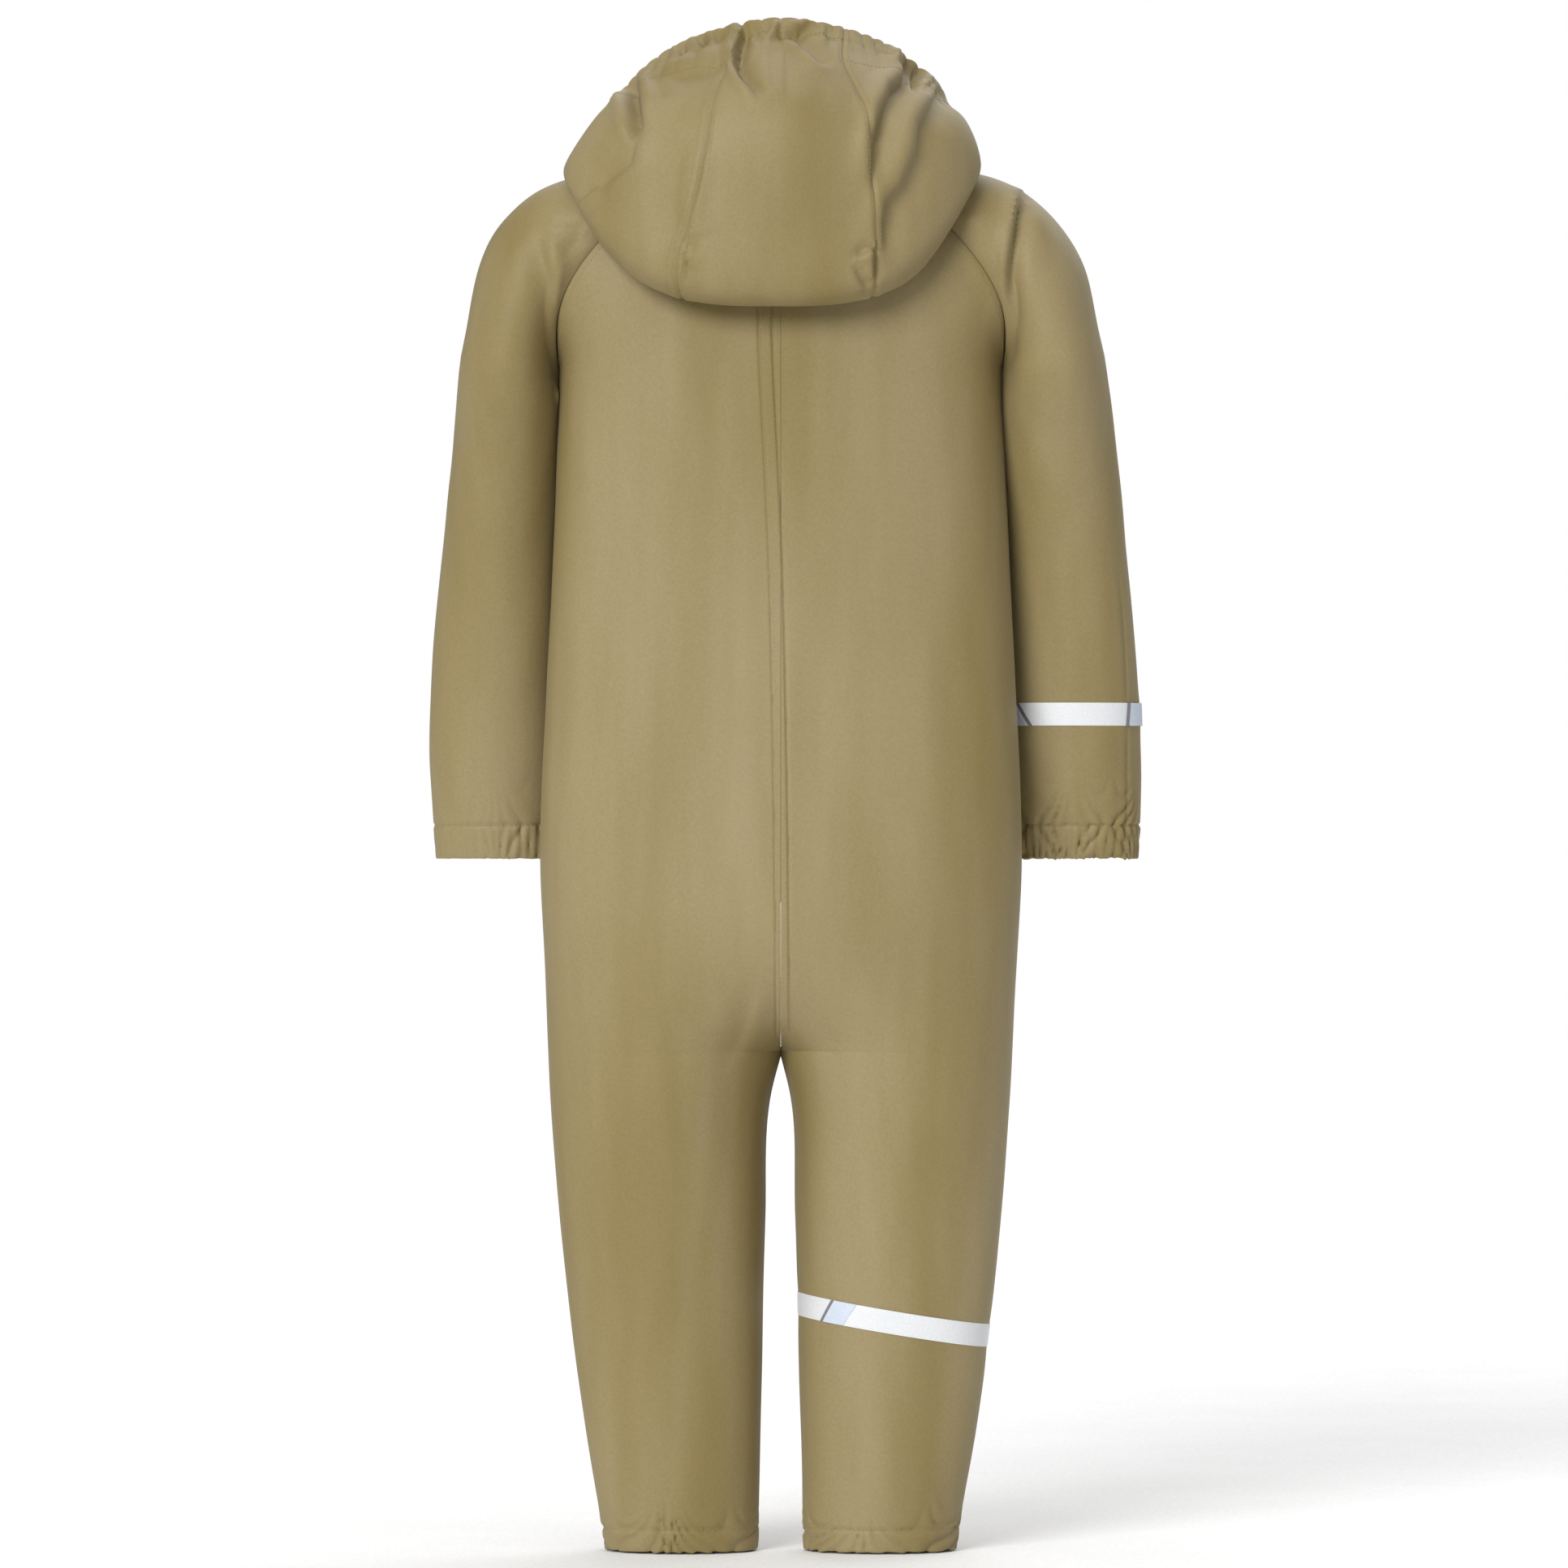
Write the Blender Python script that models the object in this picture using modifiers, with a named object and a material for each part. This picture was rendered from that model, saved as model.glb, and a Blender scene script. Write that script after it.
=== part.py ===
"""A child's hooded rain suit: one-piece coated-fabric coverall, standing in its worn shape.

Metres, +Z up. The front faces -Y and the wearer's left is +X. Every shape is worked out in suit
coordinates, whose Z is the height above the leg hems; the parent empty then moves the whole suit
so that the frame's origin is the top of the hanging loop.
"""
import math

import bmesh
import bpy
import numpy as np

# ---- driving dimensions -------------------------------------------------------------------
CLOTH = 0.0012              # thickness of a coated-fabric panel
SEAM = 0.0003               # how far a panel's edge stays back from a sewn seam
LAP = 0.0004                # clearance between a layer and the layer around it

CROTCH_Z = 0.326            # where the two legs join
SEAT_Z = 0.420              # where the seat is full, and the zip begins
ARMPIT_Z = 0.770
HIP_Z = 0.370               # height of the axis that the legs swing about
LEG_TOP_Z = 0.285           # the legs are rigid below this height
SLEEVE_TOP_Z = 0.740        # the sleeves are rigid below this height
CUFF_Z = 0.450
SHOULDER_PIVOT = (0.165, 0.0, 0.850)

# (height, half width of the body), from the hem to the armpit
HALF_WIDTH = [
    (0.000, 0.1145), (0.110, 0.1314), (0.190, 0.1410), (0.296, 0.1500), (0.365, 0.1530),
    (0.450, 0.1570), (0.561, 0.1530), (0.667, 0.1480), (ARMPIT_Z, 0.1445),
]
# (height, half of the gap between the legs), (height, half depth of a leg)
HALF_GAP = [(0.000, 0.0151), (0.110, 0.0122), (0.216, 0.0106), (0.300, 0.0070), (CROTCH_Z, 0.0006)]
LEG_DEPTH = [(0.000, 0.0360), (0.110, 0.0440), (0.216, 0.0540), (0.300, 0.0620), (SEAT_Z, 0.0680)]
# (height, distance of the centre back from the side seams' plane)
BACK_DEPTH = [
    (0.300, 0.0820), (SEAT_Z, 0.0860), (0.600, 0.0740), (0.800, 0.0780), (0.852, 0.0690),
    (0.893, 0.0520), (0.905, 0.0480),
]
FRONT_DEPTH_AT_ZIP = 0.0880  # at the bottom of the zip
FRONT_SLOPE = 0.0473         # the front leans back by this much for each metre of height

# raglan seams: (height, x, distance from the side seams' plane), from the armpit to the neck
BACK_RAGLAN = [
    (ARMPIT_Z, 0.1445, 0.000), (0.785, 0.1457, 0.022), (0.807, 0.1435, 0.043),
    (0.852, 0.1160, 0.056), (0.901, 0.0573, 0.0298),
]
FRONT_RAGLAN = [
    (ARMPIT_Z, 0.1445, 0.000), (0.785, 0.1457, 0.020), (0.807, 0.1425, 0.040),
    (0.852, 0.1120, 0.055), (0.894, 0.0573, 0.0379),
]
BACK_NECK_Z = 0.893
FRONT_NECK_Z = 0.872

# sleeve tube: (outer height, outer x, inner x, half depth, y of its middle)
SLEEVE = [
    (CUFF_Z, 0.2275, 0.1437, 0.0340, -0.0600), (0.481, 0.2295, 0.1437, 0.0390, -0.0580),
    (0.561, 0.2290, 0.1440, 0.0430, -0.0500), (0.667, 0.2210, 0.1480, 0.0480, -0.0320),
    (SLEEVE_TOP_Z, 0.2140, 0.1490, 0.0530, -0.0150), (ARMPIT_Z, 0.2104, 0.1470, 0.0560, 0.0000),
]
# raglan top of the sleeve: (share of the way to the neck, outer x, outer height, half depth)
SHOULDER = [
    (0.00, 0.2104, 0.7730, 0.0560), (0.15, 0.2060, 0.7950, 0.0575), (0.33, 0.1960, 0.8370, 0.0590),
    (0.55, 0.1720, 0.8710, 0.0600), (0.75, 0.1380, 0.8910, 0.0570), (1.00, 0.0700, 0.9050, 0.0400),
]

# hood rings from the neck outwards, over the sag and up to the rim: (angle, x, y, z); angle 0 is
# the centre back and 180 the front
HOOD_RINGS = [
    [(0, 0.000, 0.092, 0.866), (40, 0.066, 0.078, 0.878), (75, 0.099, 0.034, 0.910),
     (110, 0.096, -0.026, 0.914), (150, 0.048, -0.072, 0.897)],
    [(0, 0.000, 0.122, 0.811), (40, 0.089, 0.104, 0.829), (75, 0.137, 0.052, 0.886),
     (110, 0.126, -0.030, 0.908), (150, 0.058, -0.079, 0.901)],
    [(0, 0.000, 0.140, 0.853), (40, 0.092, 0.119, 0.866), (75, 0.142, 0.060, 0.907),
     (110, 0.130, -0.034, 0.920), (150, 0.061, -0.081, 0.909)],
    [(0, 0.000, 0.130, 0.932), (40, 0.082, 0.104, 0.934), (75, 0.126, 0.045, 0.938),
     (110, 0.116, -0.034, 0.934), (150, 0.058, -0.080, 0.920)],
    [(0, 0.000, 0.055, 0.998), (40, 0.064, 0.042, 0.983), (75, 0.106, 0.012, 0.953),
     (110, 0.101, -0.034, 0.941), (150, 0.054, -0.076, 0.930)],
]
HOOD_END = 150              # degrees from the centre back to the hood's front edges
HOOD_SEAM_LOW = 25          # degrees from the centre back to the panel seams, at the neck
HOOD_SEAM_HIGH = 15         # the same at the rim
HOOD_PIVOT = (0.0, -0.070, 0.885)

COLLAR_HEIGHT = 0.022
BAND_FROM = 0.003           # the hood's neck band, above the neckline
BAND_TO = 0.019
SNAP_ANGLES = (28, 78, 138)
SNAP_RADIUS = 0.0050
STUD_HEIGHT = 0.0010
BAND_GAP = STUD_HEIGHT + 2 * LAP

# zip, in its own line's coordinates: x, depth behind the front's face, length from its bottom
ZIP_LENGTH = 0.473
PLACKET = 0.0065            # half of the slot between the fronts
FLAT_FRONT = 0.0160         # half of the width of the flat middle of the front
TEETH_IN = 0.0008
TEETH_OUT = 0.0035
TAPE_OUT = 0.0150
ZIP_DEPTH = 0.0022          # depth of the zip's own middle
TEETH_THICK = 0.0022
TAPE_THICK = 0.0006
SLIDER_LENGTH = 0.011
SLIDER_WIDTH = 0.009
SLIDER_AT = 0.460           # along the zip, when it is closed
PLATE = 0.0011

CUFF_HEM = 0.022            # height of the elastic casing
LEG_HEM = 0.015
TAPE_BAND = 0.015           # height of a reflective band
SLEEVE_BAND_Z = 0.545
LEG_BAND_Z = 0.150
LEG_BAND_SLOPE = -0.165     # its height falls by this share of the way outwards

LOOP_HALF = 0.020
LOOP_RISE = 0.032
LOOP_Z = 0.899
LOOP_Y = 0.0430
LOOP_WIDTH = 0.0055
LOOP_THICK = 0.0012
ORIGIN = (0.0, LOOP_Y, LOOP_Z + LOOP_RISE - LOOP_THICK)

COLOURS = {                 # base colour, roughness, metallic
    "coated_fabric": ((0.36, 0.28, 0.13), 0.45, 0.0),
    "lining_trim": ((0.30, 0.23, 0.11), 0.80, 0.0),
    "reflective_tape": ((0.80, 0.83, 0.85), 0.35, 0.2),
    "elastic": ((0.75, 0.74, 0.70), 0.85, 0.0),
    "zip_tape": ((0.30, 0.23, 0.11), 0.80, 0.0),
    "zip_teeth": ((0.28, 0.21, 0.10), 0.40, 0.0),
    "zip_metal": ((0.34, 0.30, 0.22), 0.35, 0.8),
    "snap": ((0.32, 0.25, 0.12), 0.35, 0.0),
    "label": ((0.80, 0.78, 0.72), 0.85, 0.0),
}


# ---- curves and surfaces ------------------------------------------------------------------
def smooth(stations, at):
    """The values at `at` on a smooth curve through (place, value, ...) stations."""
    table = np.array(stations, float)
    place, value = table[:, 0], table[:, 1:]
    slope = np.gradient(value, place, axis=0)
    i = int(np.clip(np.searchsorted(place, at) - 1, 0, len(place) - 2))
    span = place[i + 1] - place[i]
    t = min(1.0, max(0.0, (at - place[i]) / span))
    found = (
        (2 * t**3 - 3 * t**2 + 1) * value[i] + (t**3 - 2 * t**2 + t) * span * slope[i]
        + (3 * t**2 - 2 * t**3) * value[i + 1] + (t**3 - t**2) * span * slope[i + 1]
    )
    return found if len(found) > 1 else float(found[0])


def front_depth(z):
    """How far the straight centre front lies in front of the side seams' plane."""
    return FRONT_DEPTH_AT_ZIP - FRONT_SLOPE * (z - SEAT_Z)


def seat(z):
    """0 where the legs are separate, 1 where the body is one tube: the curve of the crotch."""
    rise = min(1.0, max(0.0, (z - CROTCH_Z) / (SEAT_Z - CROTCH_Z)))
    return math.sqrt(1 - (1 - rise) ** 2)


def lower_point(z, s, back):
    """A point of the left half below the armpit; s runs from the inner edge to the side seam."""
    width, gap = smooth(HALF_WIDTH, z), smooth(HALF_GAP, min(z, CROTCH_Z))
    flat = 0.0 if back else FLAT_FRONT
    depth = smooth(BACK_DEPTH, z) if back else front_depth(z)
    turn = s * math.pi / 2
    w = seat(z)
    leg_x = gap + (width - gap) * math.sin(turn) ** 2
    body_x = flat + (width - flat) * math.sin(turn)
    leg_y = smooth(LEG_DEPTH, z) * math.sin(2 * turn)
    body_y = depth * math.cos(turn)
    x, y = (1 - w) * leg_x + w * body_x, (1 - w) * leg_y + w * body_y
    return np.array([x, y if back else -y, z])


def upper_point(share, s, back):
    """A point of the left half above the armpit; s runs from the centre to the raglan seam."""
    seam = BACK_RAGLAN if back else FRONT_RAGLAN
    neck_z = BACK_NECK_Z if back else FRONT_NECK_Z
    seam_z = ARMPIT_Z + share * (seam[-1][0] - ARMPIT_Z)
    seam_x, seam_y = smooth(seam, seam_z)
    z = ARMPIT_Z + share * (neck_z + (seam[-1][0] - neck_z) * s * s - ARMPIT_Z)
    depth = smooth(BACK_DEPTH, z) if back else front_depth(z)
    seam_depth = smooth(BACK_DEPTH, seam_z) if back else front_depth(seam_z)
    flat = 0.0 if back else FLAT_FRONT
    end = math.acos(min(1.0, max(0.0, seam_y / seam_depth)))
    reach = (seam_x - flat) / math.sin(end)
    y = depth * math.cos(s * end)
    return np.array([flat + reach * math.sin(s * end), y if back else -y, z])


def body_point(row, s, back):
    """row is a height below the armpit, and 1 plus a share of the way to the neck above it."""
    return upper_point(row - 1, s, back) if row > 1 else lower_point(row, s, back)


def leg_loop(z, inset, columns, tilt=0.0):
    """A closed loop round the left leg, inset from its outer face, from the inseam by the back."""
    points = []
    for k in range(columns):
        a = 2 * math.pi * k / columns
        guess = z
        for _ in range(2):
            width, gap = smooth(HALF_WIDTH, guess), smooth(HALF_GAP, guess)
            middle, radius = (width + gap) / 2, (width - gap) / 2 - inset
            guess = z - tilt * radius * math.cos(a)
        depth = smooth(LEG_DEPTH, guess) - inset
        points.append(np.array([middle - radius * math.cos(a), depth * math.sin(a), guess]))
    return points


def sleeve_loop(z, inset, columns):
    """A closed loop round the left sleeve tube, inset from its outer face."""
    outer, inner, depth, middle = smooth(SLEEVE, z)
    radius = (outer - inner) / 2 - inset
    centre = (outer + inner) / 2
    turns = [2 * math.pi * k / columns for k in range(columns)]
    return [
        np.array([centre - radius * math.cos(a), middle + (depth - inset) * math.sin(a), z])
        for a in turns
    ]


def shoulder_row(share, columns):
    """A line over the left shoulder, from the back raglan seam to the front one."""
    outer_x, outer_z, depth = smooth(SHOULDER, share)
    outer = np.array([outer_x, outer_z])
    halves = []
    for seam in (BACK_RAGLAN, FRONT_RAGLAN):
        seam_z = ARMPIT_Z + share * (seam[-1][0] - ARMPIT_Z)
        seam_x, seam_y = smooth(seam, seam_z)
        reach = depth + (seam_y - depth) * share**3
        start = math.asin(min(1.0, max(0.0, seam_y / reach)))
        lift = (1 - math.cos(start)) / 2
        inner = (np.array([seam_x, seam_z]) - outer * lift) / (1 - lift)
        half = []
        for k in range(columns + 1):
            a = start + (math.pi - start) * k / columns
            x, z = inner + (outer - inner) * (1 - math.cos(a)) / 2
            half.append(np.array([x, reach * math.sin(a), z]))
        halves.append(half)
    back, front = halves
    return back + [p * (1, -1, 1) for p in reversed(front[:-1])]


def underarm_row(z, columns):
    """A slit loop round the sleeve just under the armpit, matching a shoulder row's columns."""
    outer, inner, depth, middle = smooth(SLEEVE, z)
    turns = [2 * math.pi * k / (2 * columns) for k in range(2 * columns + 1)]
    centre, radius = (outer + inner) / 2, (outer - inner) / 2
    return [
        np.array([centre - radius * math.cos(a), middle + depth * math.sin(a), z]) for a in turns
    ]


def neck_half(columns=5):
    """The left half of the neckline, from the centre back to the front placket."""
    back = [upper_point(1.0, k / columns, True) for k in range(columns + 1)]
    front = [upper_point(1.0, k / columns, False) for k in range(columns + 1)]
    placket = front[0] * (0, 1, 1) + (PLACKET, 0, 0)
    return back + shoulder_row(1.0, columns)[1:-1] + front[::-1] + [placket]


def neck_at(angle, grow, rise):
    """The neckline at an angle from the centre back, in degrees, grown outwards and raised."""
    ring = np.array(neck_half(8))
    angles = np.degrees(np.arctan2(ring[:, 0], ring[:, 1]))
    radius = np.interp(angle, angles, np.hypot(ring[:, 0], ring[:, 1])) + grow
    z = np.interp(angle, angles, ring[:, 2]) + rise
    return np.array([radius * math.sin(math.radians(angle)),
                     radius * math.cos(math.radians(angle)), z])


def hood_point(angle, v):
    """The left half of the hood; v runs from 0 at the neck band to 1 at the rim."""
    line = [(0.0, *neck_at(angle, 0.0048, BAND_TO + 0.0015))]
    for i, ring in enumerate(HOOD_RINGS):
        turn, x, y, z = ring[1]
        line.append(((i + 1) / len(HOOD_RINGS), *smooth([(-turn, -x, y, z)] + ring, angle)))
    return smooth(line, v)


def hood_row(v, start, end, columns):
    """A row of the hood between two shares of the way from the panel seam to the front edge."""
    seam = HOOD_SEAM_LOW + (HOOD_SEAM_HIGH - HOOD_SEAM_LOW) * v
    return [hood_point(seam + (HOOD_END - seam) * (start + (end - start) * k / columns), v)
            for k in range(columns + 1)]


def hood_centre_row(v, columns):
    """A row of the hood's centre panel, from one seam to the other."""
    seam = HOOD_SEAM_LOW + (HOOD_SEAM_HIGH - HOOD_SEAM_LOW) * v
    row = []
    for k in range(columns + 1):
        angle = seam * (2 * k / columns - 1)
        point = hood_point(abs(angle), v)
        row.append(point * (math.copysign(1, angle), 1, 1))
    return row


def mirrored(points):
    return [p * (-1, 1, 1) for p in points]


def trimmed(row, distance=SEAM):
    """The row with its two ends moved back along it."""
    row = [np.array(p, float) for p in row]
    for end, inner in ((0, 1), (-1, -2)):
        step = row[inner] - row[end]
        row[end] = row[end] + step * distance / np.linalg.norm(step)
    return row


def grown(points, distance):
    """An open line moved outwards in plan, keeping its heights; it runs from +Y to -Y by +X."""
    line = np.array(points, float)
    along = np.gradient(line[:, :2], axis=0)
    normal = np.stack([-along[:, 1], along[:, 0]], axis=1)
    normal /= np.linalg.norm(normal, axis=1)[:, None]
    line[:, :2] += normal * distance
    return list(line)


# ---- making objects -----------------------------------------------------------------------
def material(slot):
    found = bpy.data.materials.get(slot)
    if found:
        return found
    colour, roughness, metallic = COLOURS[slot]
    made = bpy.data.materials.new(slot)
    made.use_nodes = True
    shader = made.node_tree.nodes["Principled BSDF"]
    shader.inputs["Base Color"].default_value = (*colour, 1)
    shader.inputs["Roughness"].default_value = roughness
    shader.inputs["Metallic"].default_value = metallic
    made.diffuse_color = (*colour, 1)
    return made


def place(obj, slot, axis):
    """Gives a new object its material, collection and the empty that it turns or slides with."""
    for old in list(obj.users_collection):
        old.objects.unlink(obj)
    SUIT.objects.link(obj)
    obj.data.materials.append(material(slot))
    obj.parent = axis
    return obj


def mesh_object(name, points, faces, slot, axis):
    """A mesh given in suit coordinates, hung on an axis empty."""
    mesh = bpy.data.meshes.new(name)
    mesh.from_pydata([tuple(p) for p in points], [], faces)
    obj = bpy.data.objects.new(name, mesh)
    SUIT.objects.link(obj)
    place(obj, slot, axis)
    obj.location = -axis.location if axis is not RIG else (0, 0, 0)
    return obj


def grid_faces(rows, columns, wrap_rows=False, wrap_columns=False):
    """Quads of a grid of points; wrapping closes it on itself."""
    row_steps = rows if wrap_rows else rows - 1
    column_steps = columns if wrap_columns else columns - 1
    faces = []
    for i in range(row_steps):
        for j in range(column_steps):
            a, b = i * columns, ((i + 1) % rows) * columns
            faces.append((a + j, a + (j + 1) % columns, b + (j + 1) % columns, b + j))
    return faces


def facing(points, faces, outwards):
    """The faces, turned over if they look the wrong way from the middle of the shape."""
    points = np.array(points, float)
    total = 0.0
    for face in faces:
        a, b, c = points[face[0]], points[face[1]], points[face[2]]
        total += float(np.cross(b - a, c - a) @ outwards(points[list(face)].mean(axis=0)))
    return faces if total > 0 else [face[::-1] for face in faces]


def panel(name, rows, slot, axis, middle, wrap=False, thickness=CLOTH):
    """A cloth panel: an open surface, thickened inwards; middle is a line that it faces away from."""
    points = [p for row in rows for p in row]
    faces = grid_faces(len(rows), len(rows[0]), wrap_columns=wrap)

    def away(at):
        return at - middle(at)

    obj = mesh_object(name, points, facing(points, faces, away), slot, axis)
    shell = obj.modifiers.new("cloth", "SOLIDIFY")
    shell.thickness = thickness
    shell.offset = -1
    return obj


def swept(name, sections, slot, axis, closed):
    """A solid with a flat section carried along a line; a closed one returns to its start."""
    points = [p for section in sections for p in section]
    size = len(sections[0])
    faces = grid_faces(len(sections), size, wrap_rows=closed, wrap_columns=True)
    if not closed:
        last = (len(sections) - 1) * size
        faces += [tuple(range(size))[::-1], tuple(range(last, last + size))]
    corners = np.array(points, float)
    volume = 0.0
    for face in faces:
        for i in range(1, len(face) - 1):
            volume += corners[face[0]] @ np.cross(corners[face[i]], corners[face[i + 1]])
    if volume < 0:
        faces = [face[::-1] for face in faces]
    return mesh_object(name, points, faces, slot, axis)


def ring(name, loop, section, slot, axis, flip=False, tilt=None):
    """A closed ring round a leg or sleeve; section is a list of (height, inset)."""
    extra = {} if tilt is None else {"tilt": tilt}
    loops = [loop(z, inset, columns=24, **extra) for z, inset in section]
    if flip:
        loops = [mirrored(points) for points in loops]
    sections = [[points[k] for points in loops] for k in range(24)]
    return swept(name, sections, slot, axis, closed=True)


def hem_section(base, height):
    """The folded-in casing round an opening: a floor and an inner wall."""
    wall = 4 * LAP + 2 * CLOTH
    return [(base, 0), (base, wall + CLOTH), (base + height, wall + CLOTH),
            (base + height, wall), (base + CLOTH, wall), (base + CLOTH, 0)]


def elastic_section(base, height):
    """The elastic between the outer fabric and its casing."""
    near, far = CLOTH + LAP, 2 * CLOTH + 3 * LAP
    low, high = base + CLOTH + LAP, base + height - 2 * LAP
    return [(low, near), (low, far), (high, far), (high, near)]


def empty(name, at, parent=None):
    made = bpy.data.objects.new(name, None)
    SUIT.objects.link(made)
    made.parent = parent
    made.location = at
    return made


def zip_box(name, x, depth, length, slot, axis, low=0.0):
    """A box in the zip's own line: (from, to) across, in depth and along, with axis at `low`."""
    spans = (x, depth, (length[0] - low, length[1] - low))
    bpy.ops.mesh.primitive_cube_add(size=1)
    box = bpy.context.object
    box.name = name
    box.data.name = name
    for vertex in box.data.vertices:
        vertex.co = [span[0] if c < 0 else span[1] for c, span in zip(vertex.co, spans)]
    return place(box, slot, axis)


def outline(name, loops, half_thickness, slot, axis, rotation=(0, 0, 0)):
    """A flat plate: closed outlines in the plate's own plane, with the inner ones as holes."""
    curve = bpy.data.curves.new(name, "CURVE")
    curve.dimensions = "2D"
    curve.fill_mode = "BOTH"
    curve.extrude = half_thickness
    for loop in loops:
        spline = curve.splines.new("POLY")
        spline.points.add(len(loop) - 1)
        for point, (x, y) in zip(spline.points, loop):
            point.co = (x, y, 0, 1)
        spline.use_cyclic_u = True
    obj = bpy.data.objects.new(name, curve)
    SUIT.objects.link(obj)
    place(obj, slot, axis)
    obj.rotation_euler = rotation
    return obj


def as_mesh(flat):
    """A flat plate's curve turned into a welded mesh object in the same place."""
    bpy.context.view_layer.update()
    mesh = bpy.data.meshes.new_from_object(
        flat.evaluated_get(bpy.context.evaluated_depsgraph_get()))
    shape = bmesh.new()
    shape.from_mesh(mesh)
    bmesh.ops.remove_doubles(shape, verts=shape.verts, dist=0.00001)
    shape.to_mesh(mesh)
    shape.free()
    name, axis, rotation = flat.name, flat.parent, tuple(flat.rotation_euler)
    bpy.data.objects.remove(flat)
    made = bpy.data.objects.new(name, mesh)
    SUIT.objects.link(made)
    made.parent = axis
    made.rotation_euler = rotation
    return made


# ---- the suit's parts ---------------------------------------------------------------------
def body_panels():
    """Two back panels and two fronts, from the crotch to the neckline, open at the raglan seams."""
    low = [CROTCH_Z + SEAM, 0.332, 0.345, 0.365, 0.390, SEAT_Z, 0.500, 0.580, 0.660, 0.720,
           ARMPIT_Z]
    high = [1.10, 1.25, 1.42, 1.60, 1.80, 2.00]
    columns = 8
    for back in (True, False):
        rows = []
        for row in low + high:
            line = [body_point(row, k / columns, back) for k in range(columns + 1)]
            if back:
                line[0] = line[0] * (0, 1, 1) + (SEAM, 0, 0)
            else:
                edge = PLACKET if row >= SEAT_Z else SEAM
                if row >= 0.365:
                    line = [line[0] * (0, 1, 1) + (edge, 0, 0)] + line
                else:
                    line = [line[0] * (0, 1, 1) + (SEAM, 0, 0), (line[0] + line[1]) / 2] + line[1:]
            rows.append(trimmed(line))
        for side, flip in (("left", False), ("right", True)):
            made = [mirrored(line) for line in rows] if flip else rows
            kind = "back" if back else "front"
            panel(f"{side}_{kind}_panel", made, "coated_fabric", RIG,
                  lambda at: at * (0.35, 0, 1))


def shoulders():
    """The raglan top of each sleeve, from just under the armpit to the neckline."""
    columns = 7
    rows = [underarm_row(SLEEVE_TOP_Z + LAP, columns), underarm_row(0.757, columns)]
    shares = [0.04, 0.12, 0.24, 0.38, 0.52, 0.66, 0.80, 0.91, 1.0]
    rows += [shoulder_row(share, columns) for share in shares]
    rows = [trimmed(row, 2 * SEAM) for row in rows]
    for side, flip in (("left", False), ("right", True)):
        made = [mirrored(row) for row in rows] if flip else rows
        panel(f"{side}_shoulder", made, "coated_fabric", RIG,
              lambda at: np.array([math.copysign(0.13, at[0]), 0, min(at[2], 0.80)]))


def sleeves():
    """Each rigid sleeve tube, with the folded casing and elastic in its cuff."""
    heights = [CUFF_Z + CLOTH + LAP, 0.481, 0.515, 0.561, 0.61, 0.667, 0.705, SLEEVE_TOP_Z]
    for side, flip in (("left", False), ("right", True)):
        axis = AXES[side + "_sleeve"]
        rows = [sleeve_loop(z, 0, 24) for z in heights]
        if flip:
            rows = [mirrored(row) for row in rows]
        centres = [np.mean(row, axis=0) for row in rows]

        def middle(at, centres=centres):
            return min(centres, key=lambda c: abs(c[2] - at[2]))

        panel(side + "_sleeve", rows, "coated_fabric", axis, middle, wrap=True)
        ring(side + "_cuff_casing", sleeve_loop, hem_section(CUFF_Z, CUFF_HEM),
             "coated_fabric", axis, flip)
        ring(side + "_cuff_elastic", sleeve_loop, elastic_section(CUFF_Z, CUFF_HEM),
             "elastic", axis, flip)


def legs():
    """Each leg's back and front below the hip, its hip fold, and its hem casing and elastic."""
    heights = [CLOTH + LAP, 0.03, 0.07, 0.11, 0.15, 0.19, 0.235, LEG_TOP_Z]
    columns = 12
    for side, flip in (("left", False), ("right", True)):
        axis = AXES[side + "_leg"]
        for back in (True, False):
            rows = []
            for z in heights:
                row = [lower_point(z, k / columns, back) for k in range(columns + 1)]
                row = trimmed(row)
                rows.append(mirrored(row) if flip else row)
            kind = "back" if back else "front"
            middles = [(row[0] + row[-1]) / 2 for row in rows]

            def middle(at, middles=middles):
                return min(middles, key=lambda m: abs(m[2] - at[2]))

            panel(f"{side}_leg_{kind}", rows, "coated_fabric", axis, middle)
        hip = [leg_loop(z, 0, 2 * columns) for z in (LEG_TOP_Z + LAP, 0.300, 0.313, CROTCH_Z - SEAM)]
        if flip:
            hip = [mirrored(row) for row in hip]
        panel(side + "_hip_fold", hip, "coated_fabric", RIG,
              lambda at: np.array([math.copysign(0.078, at[0]), 0, at[2]]), wrap=True)
        ring(side + "_hem_casing", leg_loop, hem_section(0, LEG_HEM), "coated_fabric", axis, flip)
        ring(side + "_hem_elastic", leg_loop, elastic_section(0, LEG_HEM), "elastic", axis, flip)


def reflective_bands():
    """The tape round the wearer's right sleeve and right leg."""
    near, far = -LAP, -2.5 * LAP
    for name, loop, z, tilt, axis in (
        ("right_sleeve_reflector", sleeve_loop, SLEEVE_BAND_Z, None, "right_sleeve"),
        ("right_leg_reflector", leg_loop, LEG_BAND_Z, LEG_BAND_SLOPE, "right_leg"),
    ):
        low, high = z - TAPE_BAND / 2, z + TAPE_BAND / 2
        ring(name, loop, [(low, near), (low, far), (high, far), (high, near)],
             "reflective_tape", AXES[axis], flip=True, tilt=tilt)


def whole_ring(half):
    """Both halves of a line that starts at the centre back, from the right front to the left."""
    return mirrored(half)[:0:-1] + half


def wall(name, ring_points, low, high, slot, axis):
    """An upright band on a line, between two heights above it."""
    rows = [[p + (0, 0, height) for p in ring_points] for height in (low, high)]
    panel(name, rows, slot, axis, lambda at: at * (0, 0, 1))


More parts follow.
